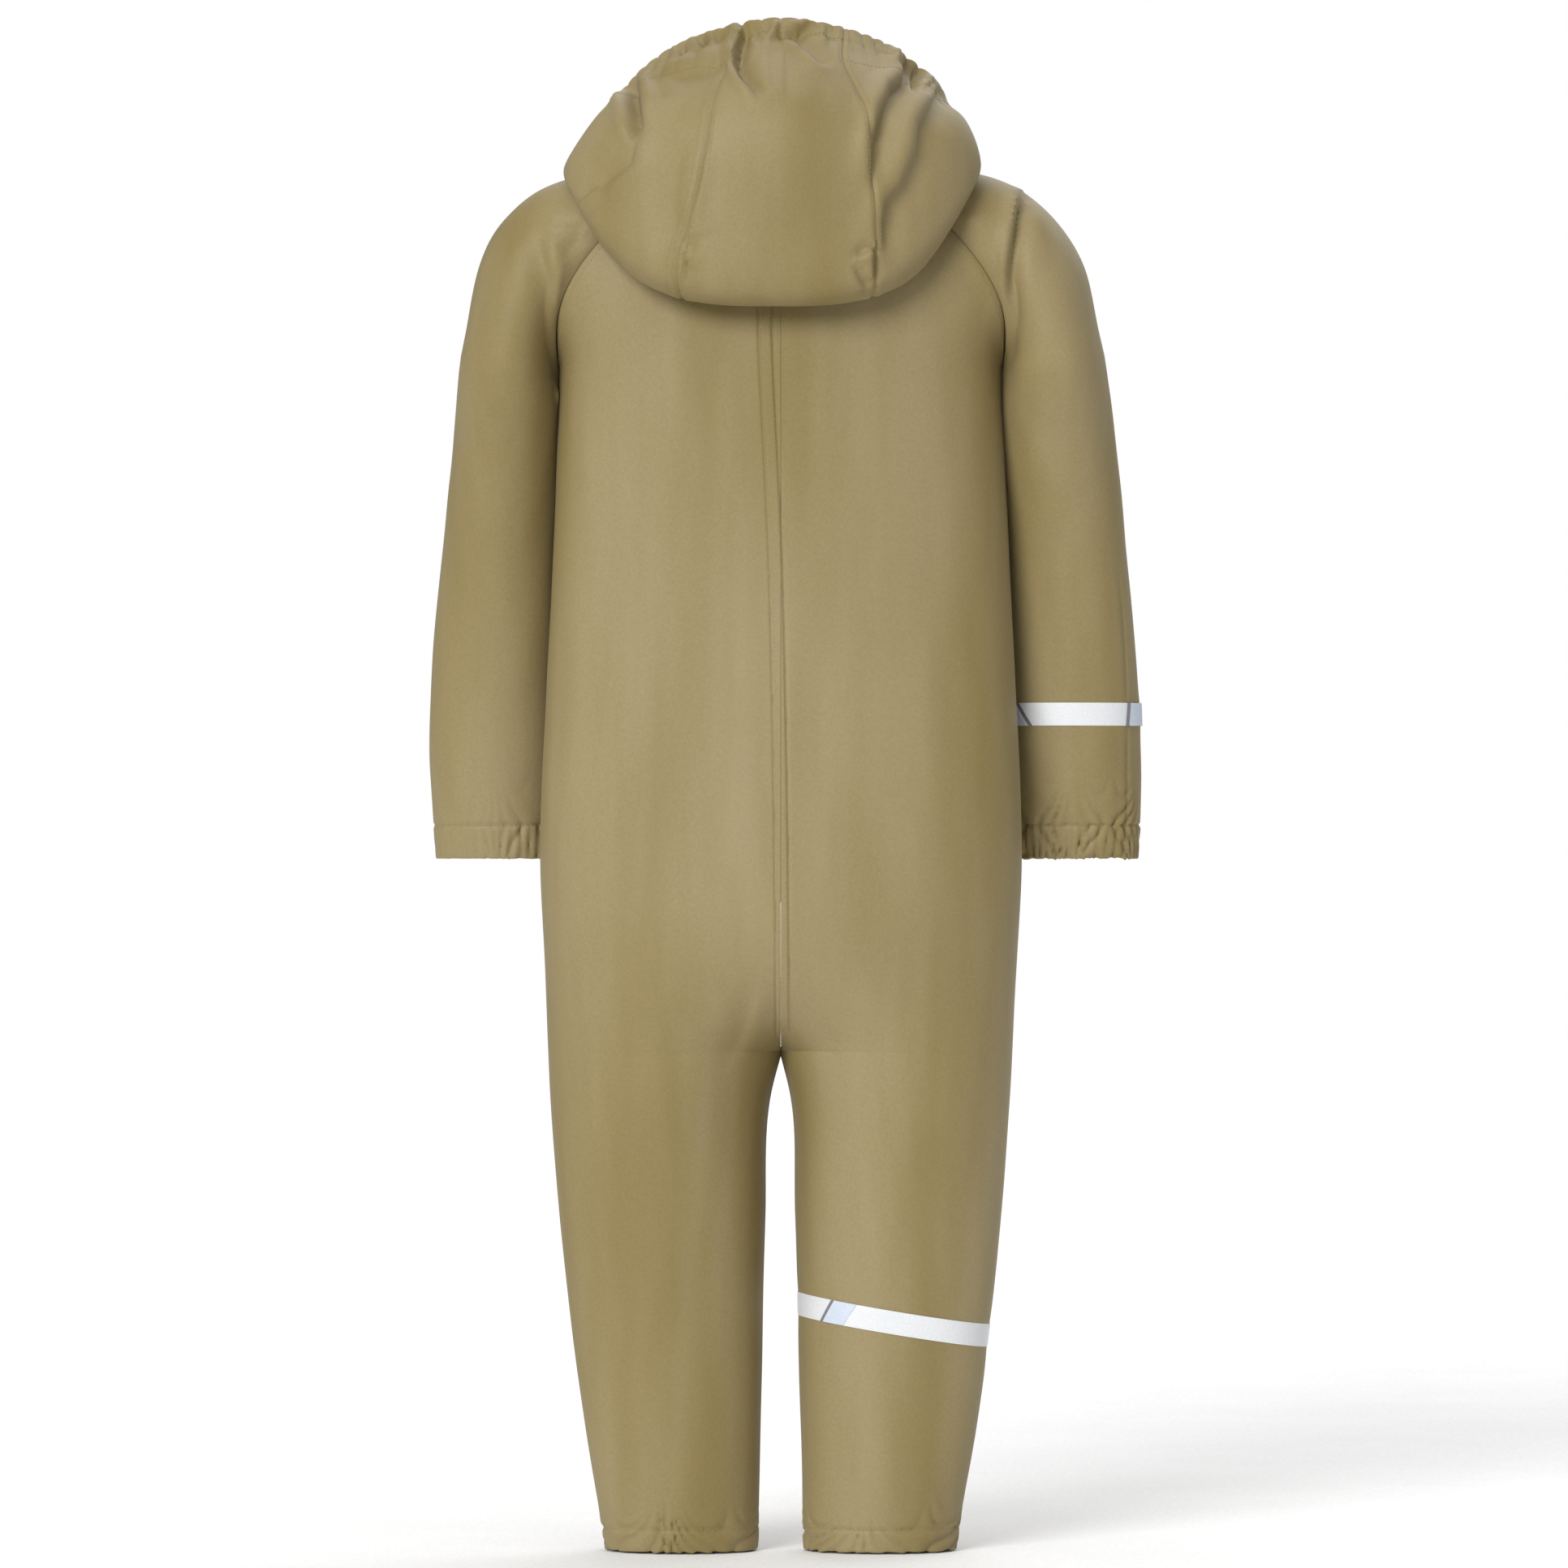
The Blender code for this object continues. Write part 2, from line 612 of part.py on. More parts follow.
def snap(name, line, angle, base, thickness, slot, axis):
    """A flat disc on the facet of an upright band that lies nearest to an angle."""
    points = np.array(line)
    middles = (points[1:] + points[:-1]) / 2
    turns = np.degrees(np.arctan2(middles[:, 0], middles[:, 1]))
    i = int(np.argmin(abs(turns - angle)))
    along = points[i + 1] - points[i]
    normal = np.array([-along[1], along[0], 0]) / np.hypot(*along[:2])
    if normal @ middles[i] < 0:
        normal = -normal
    at = middles[i] + normal * (base + thickness / 2) + (0, 0, (BAND_FROM + BAND_TO) / 2)
    bpy.ops.mesh.primitive_cylinder_add(
        vertices=12, radius=SNAP_RADIUS, depth=thickness,
        rotation=(math.pi / 2, 0, math.atan2(normal[1], normal[0]) - math.pi / 2))
    disc = bpy.context.object
    disc.name = name
    place(disc, slot, axis)
    disc.location = tuple(np.array(at) - (axis.location if axis is not RIG else (0, 0, 0)))


def collar_and_snaps():
    """The upright collar, the hood's neck band outside it, and the snaps that join them."""
    neck = whole_ring(neck_half())
    wall("collar", neck, LAP, COLLAR_HEIGHT, "coated_fabric", RIG)
    outer = grown(whole_ring(neck_half()), BAND_GAP + CLOTH)
    angles = [math.degrees(math.atan2(p[0], p[1])) for p in outer]
    band = [p for p, angle in zip(outer, angles) if abs(angle) < HOOD_END + 4]
    wall("hood_neck_band", band, BAND_FROM, BAND_TO, "coated_fabric", AXES["hood_base"])
    number = 0
    for sign in (1, -1):
        for angle in SNAP_ANGLES:
            number += 1
            snap(f"collar_stud_{number}", neck, sign * angle, LAP, STUD_HEIGHT, "snap", RIG)
            snap(f"hood_snap_{number}", band, sign * angle, LAP, 0.0022, "snap",
                 AXES["hood_base"])


def hood():
    """The hood's three panels, and the casing and elastic round its rim."""
    axis = AXES["hood"]
    levels = [0.0, 0.11, 0.22, 0.33, 0.42, 0.52, 0.64, 0.76, 0.88, 0.985]

    def middle(at):
        return np.array([at[0] * 0.3, 0.055, 0.905])

    centre = [trimmed(hood_centre_row(v, 8)) for v in levels]
    panel("hood_centre_panel", centre, "coated_fabric", axis, middle)
    side = [trimmed(hood_row(v, 0, 1, 16)) for v in levels]
    panel("hood_left_panel", side, "coated_fabric", axis, middle)
    panel("hood_right_panel", [mirrored(row) for row in side], "coated_fabric", axis, middle)

    half = [(hood_point(angle, 1.0), hood_point(angle, 0.94)) for angle in range(0, HOOD_END, 6)]
    rim = [(p * (-1, 1, 1), q * (-1, 1, 1)) for p, q in half[:0:-1]] + half
    edge = np.array([p for p, _ in rim])
    along = np.gradient(edge, axis=0)
    casing, elastic = [], []
    wall_in = 6 * LAP + 2 * CLOTH
    for (top, below), forward in zip(rim, along):
        down = (below - top) / np.linalg.norm(below - top)
        inward = np.cross(down, forward)
        inward /= np.linalg.norm(inward)
        if inward @ (middle(top) - top) < 0:
            inward = -inward

        def at(drop, depth):
            return top + down * drop + inward * depth

        casing.append([at(-CLOTH - LAP, 0), at(-CLOTH - LAP, wall_in + CLOTH),
                       at(LEG_HEM, wall_in + CLOTH), at(LEG_HEM, wall_in), at(-LAP, wall_in),
                       at(-LAP, 0)])
        near, far = CLOTH + 4 * LAP, 2 * CLOTH + 3.5 * LAP
        elastic.append([at(LAP, near), at(LAP, far), at(LEG_HEM - LAP, far),
                        at(LEG_HEM - LAP, near)])
    swept("hood_brim_casing", casing, "coated_fabric", axis, closed=False)
    swept("hood_elastic", elastic, "elastic", axis, closed=False)


def hanging_loop():
    """The webbing loop inside the back of the neck, standing as it does on a hook."""
    sections = []
    for k in range(17):
        a = math.pi * k / 16
        section = []
        for shrink, y in ((0, 0), (LOOP_THICK, 0), (LOOP_THICK, 1), (0, 1)):
            section.append(np.array([
                (LOOP_HALF - shrink) * math.cos(a),
                LOOP_Y + (y - 0.5) * LOOP_WIDTH,
                LOOP_Z + (LOOP_RISE - shrink) * math.sin(a),
            ]))
        sections.append(section)
    swept("hanging_loop", sections, "lining_trim", RIG, closed=False)


def neck_label():
    """A blank woven label on the inside of the collar."""
    low = BACK_NECK_Z + 0.004
    y = smooth(BACK_DEPTH, BACK_NECK_Z) - CLOTH - 5 * LAP
    corners = [np.array([x, y + d, z]) for z in (low, low + 0.014)
               for x, d in ((-0.012, 0), (0.012, 0), (0.012, -0.0006), (-0.012, -0.0006))]
    swept("neck_label", [corners[:4], corners[4:]], "label", RIG, closed=False)


def zip_parts():
    """Tapes, teeth, stops, guard and flap on the body, with the slider and its pull."""
    line = AXES["zip_line"]
    near, far = ZIP_DEPTH - TEETH_THICK / 2, ZIP_DEPTH + TEETH_THICK / 2
    tape = (ZIP_DEPTH - TAPE_THICK / 2, ZIP_DEPTH + TAPE_THICK / 2)
    for side, sign in (("left", 1), ("right", -1)):
        def across(a, b):
            return tuple(sorted((sign * a, sign * b)))

        zip_box(f"zip_tape_{side}", across(TEETH_OUT + LAP / 2, TAPE_OUT), tape, (0.006, ZIP_LENGTH),
                "zip_tape", line)
        zip_box(f"zip_teeth_{side}", across(TEETH_IN, TEETH_OUT), (near, far),
                (0.005, ZIP_LENGTH - 0.004), "zip_teeth", line)
        zip_box(f"zip_top_stop_{side}", across(TEETH_IN, TEETH_OUT), (near, far),
                (ZIP_LENGTH - 0.0036, ZIP_LENGTH - 0.001), "zip_metal", line)
    zip_box("zip_bottom_stop", (-TEETH_OUT, TEETH_OUT), (near, far), (0.001, 0.0046),
            "zip_metal", line)
    zip_box("chin_guard", (-0.011, 0.011), (0.0062, 0.0074), (0.453, 0.476), "lining_trim", line)
    zip_box("wind_flap", (-0.018, 0.028), (0.0062, 0.0074), (0.002, 0.450), "coated_fabric", line)

    slider = AXES["zip_slider"]
    front, back = near - LAP, far + LAP
    half, post = SLIDER_WIDTH / 2, TEETH_IN - LAP
    section = [(-half, front - PLATE), (half, front - PLATE), (half, front), (post, front),
               (post, back), (half, back), (half, back + PLATE), (-half, back + PLATE),
               (-half, back), (-post, back), (-post, front), (-half, front)]
    as_mesh(outline("zip_slider", [section], SLIDER_LENGTH / 2, "zip_metal", slider))
    top = front - PLATE - SEAM
    half_bridge, rise, bar = 0.0028, 0.0030, 0.0009
    bridge = [(top, -half_bridge), (top - rise, -half_bridge), (top - rise, half_bridge),
              (top, half_bridge)]
    opening = [(top - PLATE / 2, -half_bridge + bar), (top - rise + bar, -half_bridge + bar),
               (top - rise + bar, half_bridge - bar), (top - PLATE / 2, half_bridge - bar)]
    as_mesh(outline("zip_slider_bridge", [bridge, opening], 0.0012, "zip_metal", slider,
                    (math.pi / 2, 0, math.pi / 2)))
    pull_y = top - (rise - bar + PLATE / 2) / 2
    bar = 0.0010
    tab = [(-0.0032, bar / 2), (0.0032, bar / 2), (0.0032, -0.020), (0.0022, -0.0245),
           (-0.0022, -0.0245), (-0.0032, -0.020)]
    window = [(-0.0019, -bar / 2), (0.0019, -bar / 2), (0.0019, -0.0052), (-0.0019, -0.0052)]
    AXES["zip_pull"].location = (0, pull_y, 0)
    as_mesh(outline("zip_pull", [tab, window], bar / 2, "zip_metal", AXES["zip_pull"],
                    (math.pi / 2, 0, 0)))


# ---- assembly -----------------------------------------------------------------------------
for old in list(bpy.data.objects):
    bpy.data.objects.remove(old)

SUIT = bpy.data.collections.new("rain_suit")
bpy.context.scene.collection.children.link(SUIT)

RIG = empty("suit", tuple(-c for c in ORIGIN))
AXES = {}
for side_name, side_sign in (("left", 1), ("right", -1)):
    pivot = (side_sign * SHOULDER_PIVOT[0], *SHOULDER_PIVOT[1:])
    AXES[side_name + "_sleeve"] = empty(side_name + "_sleeve_axis", pivot, RIG)
    AXES[side_name + "_leg"] = empty(side_name + "_leg_axis", (0, 0, HIP_Z), RIG)
AXES["hood_base"] = empty("hood_base_axis", (0, 0, BACK_NECK_Z), RIG)
AXES["hood"] = empty("hood_axis", HOOD_PIVOT, RIG)
AXES["zip_line"] = empty("zip_line", (0, -FRONT_DEPTH_AT_ZIP, SEAT_Z), RIG)
AXES["zip_line"].rotation_euler = (-math.atan(FRONT_SLOPE), 0, 0)
AXES["zip_slider"] = empty("zip_slider_axis", (0, 0, SLIDER_AT), AXES["zip_line"])
AXES["zip_pull"] = empty("zip_pull_axis", (0, 0, 0), AXES["zip_slider"])

body_panels()
shoulders()
sleeves()
legs()
reflective_bands()
collar_and_snaps()
hood()
hanging_loop()
neck_label()
zip_parts()
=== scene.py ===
"""The looks of a child's hooded rain suit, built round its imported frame.

Shapes are worked out in suit coordinates, metres with Z as the height above the leg hems, from
nearly the same surfaces as the part's design; SHIFT then takes them to the frame. The wearer's left
is +X and the back faces +Y. Most tables are written in millimetres, which mm() turns to metres.
"""

import math

import bpy
import numpy as np
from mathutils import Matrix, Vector


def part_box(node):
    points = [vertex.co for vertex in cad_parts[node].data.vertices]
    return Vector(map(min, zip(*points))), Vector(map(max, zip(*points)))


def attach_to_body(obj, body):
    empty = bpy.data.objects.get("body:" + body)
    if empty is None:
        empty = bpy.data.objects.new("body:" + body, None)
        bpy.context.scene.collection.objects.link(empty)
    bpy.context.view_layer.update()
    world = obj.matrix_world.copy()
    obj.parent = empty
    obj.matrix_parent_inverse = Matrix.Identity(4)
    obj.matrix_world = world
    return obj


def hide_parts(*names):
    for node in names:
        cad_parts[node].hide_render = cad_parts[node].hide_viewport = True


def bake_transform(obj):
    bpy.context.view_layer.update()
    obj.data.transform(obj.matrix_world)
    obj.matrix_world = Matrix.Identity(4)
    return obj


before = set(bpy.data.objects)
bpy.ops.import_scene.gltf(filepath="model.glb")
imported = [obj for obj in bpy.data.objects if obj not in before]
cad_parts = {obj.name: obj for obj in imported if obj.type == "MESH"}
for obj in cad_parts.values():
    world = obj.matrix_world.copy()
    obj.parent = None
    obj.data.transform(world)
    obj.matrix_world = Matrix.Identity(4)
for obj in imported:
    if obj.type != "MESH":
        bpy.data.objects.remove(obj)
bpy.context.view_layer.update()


def mm(rows):
    return np.array(rows, float) / 1000


# ---- the suit's surfaces: the part's design, with hood and sleeves nearer to the photo ------
SIGN = {"left": 1, "right": -1}
CLOTH = 0.0009              # thickness of the coated fabric
SEAM = 0.0001               # how far a panel's edge stays back from a sewn seam
CROTCH_Z = 0.326
SEAT_Z = 0.420
ARMPIT_Z = 0.770
CUFF_Z = 0.450
CUFF_HEM = 0.022
LEG_HEM = 0.015
HEM_RADIUS = 0.0013         # of the fold at a hem's edge
HALF_WIDTH = mm([
    (0, 114.5), (110, 131.4), (190, 141), (296, 150), (365, 153), (450, 157), (561, 153),
    (667, 148), (770, 144.5),
])
HALF_GAP = mm([(0, 15.1), (110, 12.2), (216, 10.6), (300, 7), (326, 0.6)])
LEG_DEPTH = mm([(0, 36), (110, 44), (216, 54), (300, 62), (420, 68)])
BACK_DEPTH = mm([(300, 82), (420, 86), (600, 74), (800, 78), (852, 69), (893, 52), (905, 48)])
FRONT_DEPTH_AT_ZIP = 0.0880     # at the seat, where the zip starts
FRONT_SLOPE = 0.0473
BACK_FULLNESS = 0.78        # power of the back's cosine: the cloth stays flat, then turns at the side
SLEEVE_FULLNESS = 0.85      # the same for the sleeves
BACK_RAGLAN = mm([
    (770, 144.5, 0), (785, 145.7, 22), (807, 143.5, 43), (852, 116, 56), (901, 57.3, 29.8),
])
FRONT_RAGLAN = mm([
    (770, 144.5, 0), (785, 145.7, 20), (807, 142.5, 40), (852, 112, 55), (894, 57.3, 37.9),
])
BACK_NECK_Z = 0.893
FRONT_NECK_Z = 0.872
# height, outer x, inner x, half depth and middle y of the sleeve
SLEEVE = mm([
    (450, 227.5, 143.7, 34, -60), (481, 229.5, 143.7, 39, -58), (561, 229, 144, 43, -50),
    (667, 221, 143.5, 48, -34), (720, 216, 143, 52, -18.5), (750, 212.8, 144, 54.5, -6),
    (770, 210.4, 144.4, 56, 0), (800, 207.5, 144.8, 57.5, 0),
])
# share of the way to the neck, outer x, outer height and reach of the shoulder
SHOULDER = [
    (0.00, 0.2104, 0.7730, 0.0560), (0.15, 0.2060, 0.7950, 0.0575), (0.33, 0.1975, 0.8380, 0.0590),
    (0.55, 0.1750, 0.8725, 0.0600), (0.75, 0.1400, 0.8945, 0.0570), (1.00, 0.0700, 0.9050, 0.0400),
]
# rings of the hood from its neck to its rim: points at RING_ANGLES from the centre back
HOOD_RINGS = mm([
    [(0, 92, 866), (66, 78, 878), (99, 34, 910), (96, -26, 914), (48, -72, 897)],
    [(0, 106, 805.5), (91, 89, 823.5), (137, 46, 883), (126, -30, 906), (58, -79, 901)],
    [(0, 115, 810), (92.5, 97.5, 828.5), (138.5, 50, 886), (126, -30.5, 908), (58.5, -79.3, 902)],
    [(0, 127, 850), (90, 108, 860), (137, 56, 898), (125, -32, 913), (60, -80, 905)],
    [(0, 128, 932), (80, 102, 930), (119, 45, 931), (110, -34, 929), (57, -79, 915)],
    [(0, 55, 994), (65, 42, 981), (103, 12, 954), (98, -34, 940), (54, -76, 930)],
])
RING_ANGLES = np.array([-40.0, 0, 40, 75, 110, 150])    # the first mirrors the third
RING_PLACES = np.array([0, 0.2, 0.4, 0.44, 0.6, 0.8, 1])    # v at the neck band and at each ring
# the hood has slumped a little inwards on the wearer's right: (v, share of its width)
RIGHT_SLUMP = [(0.0, 1.00), (0.2, 0.94), (0.4, 0.90), (0.6, 0.93), (0.8, 1.00), (1.0, 1.02)]
# panel seams, in degrees from the centre back: (v, left, right)
HOOD_SEAMS = np.array([
    (0.00, 25.0, 25.0), (0.20, 25.0, 25.0), (0.40, 26.5, 27.5), (0.55, 27.0, 28.0),
    (0.70, 22.0, 27.0), (0.82, 20.5, 25.5), (0.92, 18.0, 21.5), (1.00, 15.5, 24.0),
])
HOOD_END = 150.0            # degrees from the centre back to the hood's front edges
COLLAR_HEIGHT = 0.022
BAND_FROM, BAND_TO = 0.003, 0.019       # edges of the neck band above the neckline
HOOD_OUT, HOOD_UP = 0.0048, 0.0015      # the hood's neck edge, out from the neck and over the band
SNAP_ANGLES = (28, 78, 138)
PLACKET = 0.0065            # half of the slot between the fronts
FLAT_FRONT = 0.0160         # half of the flat strip down the front, with the zip in it
ZIP_LENGTH = 0.473
TAPE_IN, TAPE_OUT = 0.0034, 0.0150      # edges of the zip's tapes, from its middle
ZIP_DEPTH = 0.0022          # how deep the zip's middle lies behind the face of the front
TAPE_BAND = 0.015           # width of the reflective tape
SLEEVE_BAND_Z = 0.545
LEG_BAND_Z = 0.150
LEG_BAND_SLOPE = -0.165

hem_low, hem_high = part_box("left_hem_casing")
SHIFT = np.array([0.0, (hem_low.y + hem_high.y) / 2, hem_low.z])


def smooth(stations, at):
    """The values at `at` on a smooth curve through (place, value, ...) stations."""
    table = np.array(stations, float)
    return along(table[:, 1:], table[:, 0], np.asarray(at, float))


def along(values, place, at):
    """The same for values given apart from their places; each may be an array of points."""
    slope = np.gradient(values, place, axis=0)
    i = np.clip(np.searchsorted(place, at) - 1, 0, len(place) - 2)
    span = place[i + 1] - place[i]
    t = np.clip((at - place[i]) / span, 0, 1)[..., None]
    span = span[..., None]
    rest = tuple(np.indices(at.shape)) if values.ndim > 2 else ()
    low, high = (i, *rest), (i + 1, *rest)
    found = (
        (2 * t**3 - 3 * t**2 + 1) * values[low] + (t**3 - 2 * t**2 + t) * span * slope[low]
        + (3 * t**2 - 2 * t**3) * values[high] + (t**3 - t**2) * span * slope[high]
    )
    return found if found.shape[-1] > 1 else found[..., 0]


def step(low, high, at):
    """0 below low and 1 above high, smoothly."""
    t = np.clip((at - low) / (high - low), 0, 1)
    return t * t * (3 - 2 * t)


def bell(distance, width):
    return np.exp(-(distance / width) ** 2)


def circle(count):
    """Angles spread evenly round a circle."""
    return np.linspace(0, 2 * math.pi, count + 1)[:-1]


def run_along(points, axis=0):
    """Each point's distance from the first one, along an axis of an array of points."""
    steps = np.linalg.norm(np.diff(points, axis=axis), axis=-1)
    return np.concatenate([0 * steps.take([0], axis=axis), np.cumsum(steps, axis=axis)], axis=axis)


def spread(places, run, values):
    """Rows of values at places along a run."""
    return np.stack([np.interp(places, run, column) for column in values.T], axis=1)


def row_at(height, heights):
    return float(np.interp(height, heights, np.arange(len(heights))))


def depth_at(z, back):
    return smooth(BACK_DEPTH, z) if back else FRONT_DEPTH_AT_ZIP - FRONT_SLOPE * (z - SEAT_Z)


def leg_middle(z):
    return (smooth(HALF_WIDTH, z) + smooth(HALF_GAP, z)) / 2


def seat(z):
    """0 where the legs are separate, 1 where the body is one tube."""
    rise = np.clip((z - CROTCH_Z) / (SEAT_Z - CROTCH_Z), 0, 1)
    return np.sqrt(1 - (1 - rise) ** 2)


def lower_row(z, s, back):
    """A row of the left half below the armpit; s runs from the inner edge to the side seam."""
    width, gap = smooth(HALF_WIDTH, z), smooth(HALF_GAP, min(z, CROTCH_Z))
    flat = 0.0 if back else FLAT_FRONT
    turn = s * math.pi / 2
    outer = step(0.25, 0.75, s)
    w = seat(z) * (1 - outer) + step(CROTCH_Z - 0.05, SEAT_Z, z) * outer
    leg_x = gap + (width - gap) * np.sin(turn) ** 2
    body_x = flat + (width - flat) * np.sin(turn)
    x = (1 - w) * leg_x + w * body_x
    body_y = depth_at(z, back) * np.maximum(np.cos(turn), 0) ** (BACK_FULLNESS if back else 1)
    y = (1 - w) * smooth(LEG_DEPTH, z) * np.sin(2 * turn) + w * body_y
    return np.stack([x, y if back else -y, np.full_like(x, z)], axis=-1)


def raglan_at(share, back):
    """The x, y and z of a raglan seam at a share of its way from the armpit to the neck."""
    seam = BACK_RAGLAN if back else FRONT_RAGLAN
    z = ARMPIT_Z + share * (seam[-1][0] - ARMPIT_Z)
    return *smooth(seam, z), z


def upper_row(share, s, back):
    """A row of the left half above the armpit, from the centre to the raglan seam."""
    neck_z = BACK_NECK_Z if back else FRONT_NECK_Z
    flat = 0.0 if back else FLAT_FRONT
    power = BACK_FULLNESS if back else 1
    seam_x, seam_y, seam_z = raglan_at(share, back)
    z = ARMPIT_Z + share * (neck_z + (raglan_at(1.0, back)[2] - neck_z) * s * s - ARMPIT_Z)
    end = math.acos(min(1.0, max(0.0, float(seam_y / depth_at(seam_z, back)))) ** (1 / power))
    x = flat + (seam_x - flat) / math.sin(end) * np.sin(s * end)
    y = depth_at(z, back) * np.maximum(np.cos(s * end), 0) ** power
    return np.stack([x, y if back else -y, z], axis=-1)


def sleeve_row(z, turns):
    """A slit loop round the left sleeve tube, from the underarm by the back and the outside."""
    outer, inner, depth, middle = smooth(SLEEVE, z)
    x = (outer + inner) / 2 - (outer - inner) / 2 * np.cos(turns)
    side = np.sin(turns)
    y = middle + depth * np.sign(side) * np.abs(side) ** SLEEVE_FULLNESS
    return np.stack([x, y, np.full_like(x, z)], axis=-1)


def shoulder_row(share, columns):
    """A line over the left shoulder, from the back raglan seam to the front one."""
    outer_x, outer_z, depth = smooth(SHOULDER, share)
    outer = np.array([outer_x, outer_z])
    halves = []
    for back in (True, False):
        seam_x, seam_y, seam_z = raglan_at(share, back)
        reach = depth + (seam_y - depth) * share**3
        start = math.asin(min(1.0, max(0.0, float(seam_y / reach))) ** (1 / SLEEVE_FULLNESS))
        lift = (1 - math.cos(start)) / 2
        inner = (np.array([seam_x, seam_z]) - outer * lift) / (1 - lift)
        a = np.linspace(start, math.pi, columns + 1)
        xz = inner + (outer - inner) * ((1 - np.cos(a)) / 2)[:, None]
        y = reach * np.maximum(np.sin(a), 0) ** SLEEVE_FULLNESS
        halves.append(np.stack([xz[:, 0], y, xz[:, 1]], axis=-1))
    back, front = halves
    return np.concatenate([back, front[-2::-1] * (1, -1, 1)])


def neck_half(columns=24):
    """The left half of the neckline, from the centre back to the front placket."""
    s = np.linspace(0, 1, columns + 1)
    back, front = upper_row(1.0, s, True), upper_row(1.0, s, False)
    placket = front[:1] * (0, 1, 1) + (PLACKET, 0, 0)
    return np.concatenate([back, shoulder_row(1.0, columns)[1:-1], front[::-1], placket])


NECK = neck_half()
NECK_ANGLES = np.degrees(np.arctan2(NECK[:, 0], NECK[:, 1]))


def hood_points(angle, v):
    """Points of the hood; v runs from 0 at the neck band to 1 at the rim."""
    turn = np.abs(angle)
    radius = np.interp(turn, NECK_ANGLES, np.hypot(NECK[:, 0], NECK[:, 1])) + HOOD_OUT
    height = np.interp(turn, NECK_ANGLES, NECK[:, 2]) + BAND_TO + HOOD_UP
    east, north = np.sin(np.radians(turn)), np.cos(np.radians(turn))
    lines = [np.stack([radius * east, radius * north, height], -1)]
    for ring in HOOD_RINGS:
        lines.append(along(np.concatenate([ring[1:2] * (-1, 1, 1), ring]), RING_ANGLES, turn))
    found = along(np.array(lines), RING_PLACES, v)
    slump = np.where(angle < 0, smooth(RIGHT_SLUMP, v), 1.0)
    return found * np.stack([np.sign(angle + 1e-9) * slump, np.ones_like(v), np.ones_like(v)], -1)


# ---- relief: everything finer than the surfaces themselves ----------------------------------
def waves(points, seed, spacing, stretch=(1, 1, 0.2), count=9):
    """Soft irregular undulation from -1 to 1; stretch is how quickly it changes along X, Y and Z."""
    chance = np.random.default_rng(seed)
    total = np.zeros(points.shape[:-1])
    for _ in range(count):
        direction = chance.normal(size=3)
        direction /= np.linalg.norm(direction)
        size = spacing * chance.uniform(0.7, 1.6)
        turn = 2 * math.pi * (points * stretch) @ direction / size
        total += np.sin(turn + chance.uniform(0, 2 * math.pi))
    return total / count * 1.8


def pleats(turn, number, seed, sharpness=0.8):
    """Irregular pleats round an opening, 0 in the valleys and 1 on the ridges; turn in radians."""
    chance = np.random.default_rng(seed)
    phase = turn * number / 2
    for k in range(2, 8):
        phase = phase + chance.uniform(0.5, 1.3) / k * 2.2 * np.sin(k * turn + chance.uniform(0, 6.28))
    return np.abs(np.cos(phase)) ** sharpness


SEAM_VALLEY = 0.0011        # half width of the valley at a sewn seam
RIDGE_AT, RIDGE_WIDTH, RIDGE_SHARE = 0.0042, 0.0026, 0.35       # of the turned cloth beside it


def seam_relief(distance, dip=0.0009):
    """A sewn seam seen across it: a narrow valley with the turned cloth raised beside it."""
    ridge = RIDGE_SHARE * bell(distance - RIDGE_AT, RIDGE_WIDTH)
    return dip * (ridge - bell(distance, SEAM_VALLEY))


def calm(distance):
    """The share of the relief that is left near a reflective band, which the tape holds flat."""
    return 1 - 0.8 * bell(distance, 0.014)


def crease_relief(points, creases):
    """Listed creases on the back: (line of (x, z), width, depth, shoulder height) in mm.

    A crease falls steeply from a raised shoulder on its line's left, and rises gently beyond it."""
    xz = points[..., (0, 2)]
    total = np.zeros(points.shape[:-1])
    for line, *sizes in creases:
        line, (width, depth, shoulder) = mm(line), mm(sizes)
        nearest = np.full(points.shape[:-1], 1e9)
        signed, share = np.zeros_like(nearest), np.zeros_like(nearest)
        for k, (start, end) in enumerate(zip(line, line[1:])):
            edge = end - start
            t = np.clip(((xz - start) @ edge) / (edge @ edge), 0, 1)
            away = xz - (start + t[..., None] * edge)
            far = np.hypot(away[..., 0], away[..., 1])
            side = np.sign(edge[0] * away[..., 1] - edge[1] * away[..., 0])
            closer = far < nearest
            nearest = np.where(closer, far, nearest)
            signed = np.where(closer, far * side, signed)
            share = np.where(closer, (k + t) / (len(line) - 1), share)
        ends = step(0.0, 0.12, share + 0.06) * (1 - step(0.7, 1.0, share))
        reach = np.where(signed > 0, 0.55 * width, 1.9 * width)
        raised = shoulder * bell(signed - 1.5 * width, 1.1 * width)
        total += ends * (raised - depth * bell(signed, reach))
    return total


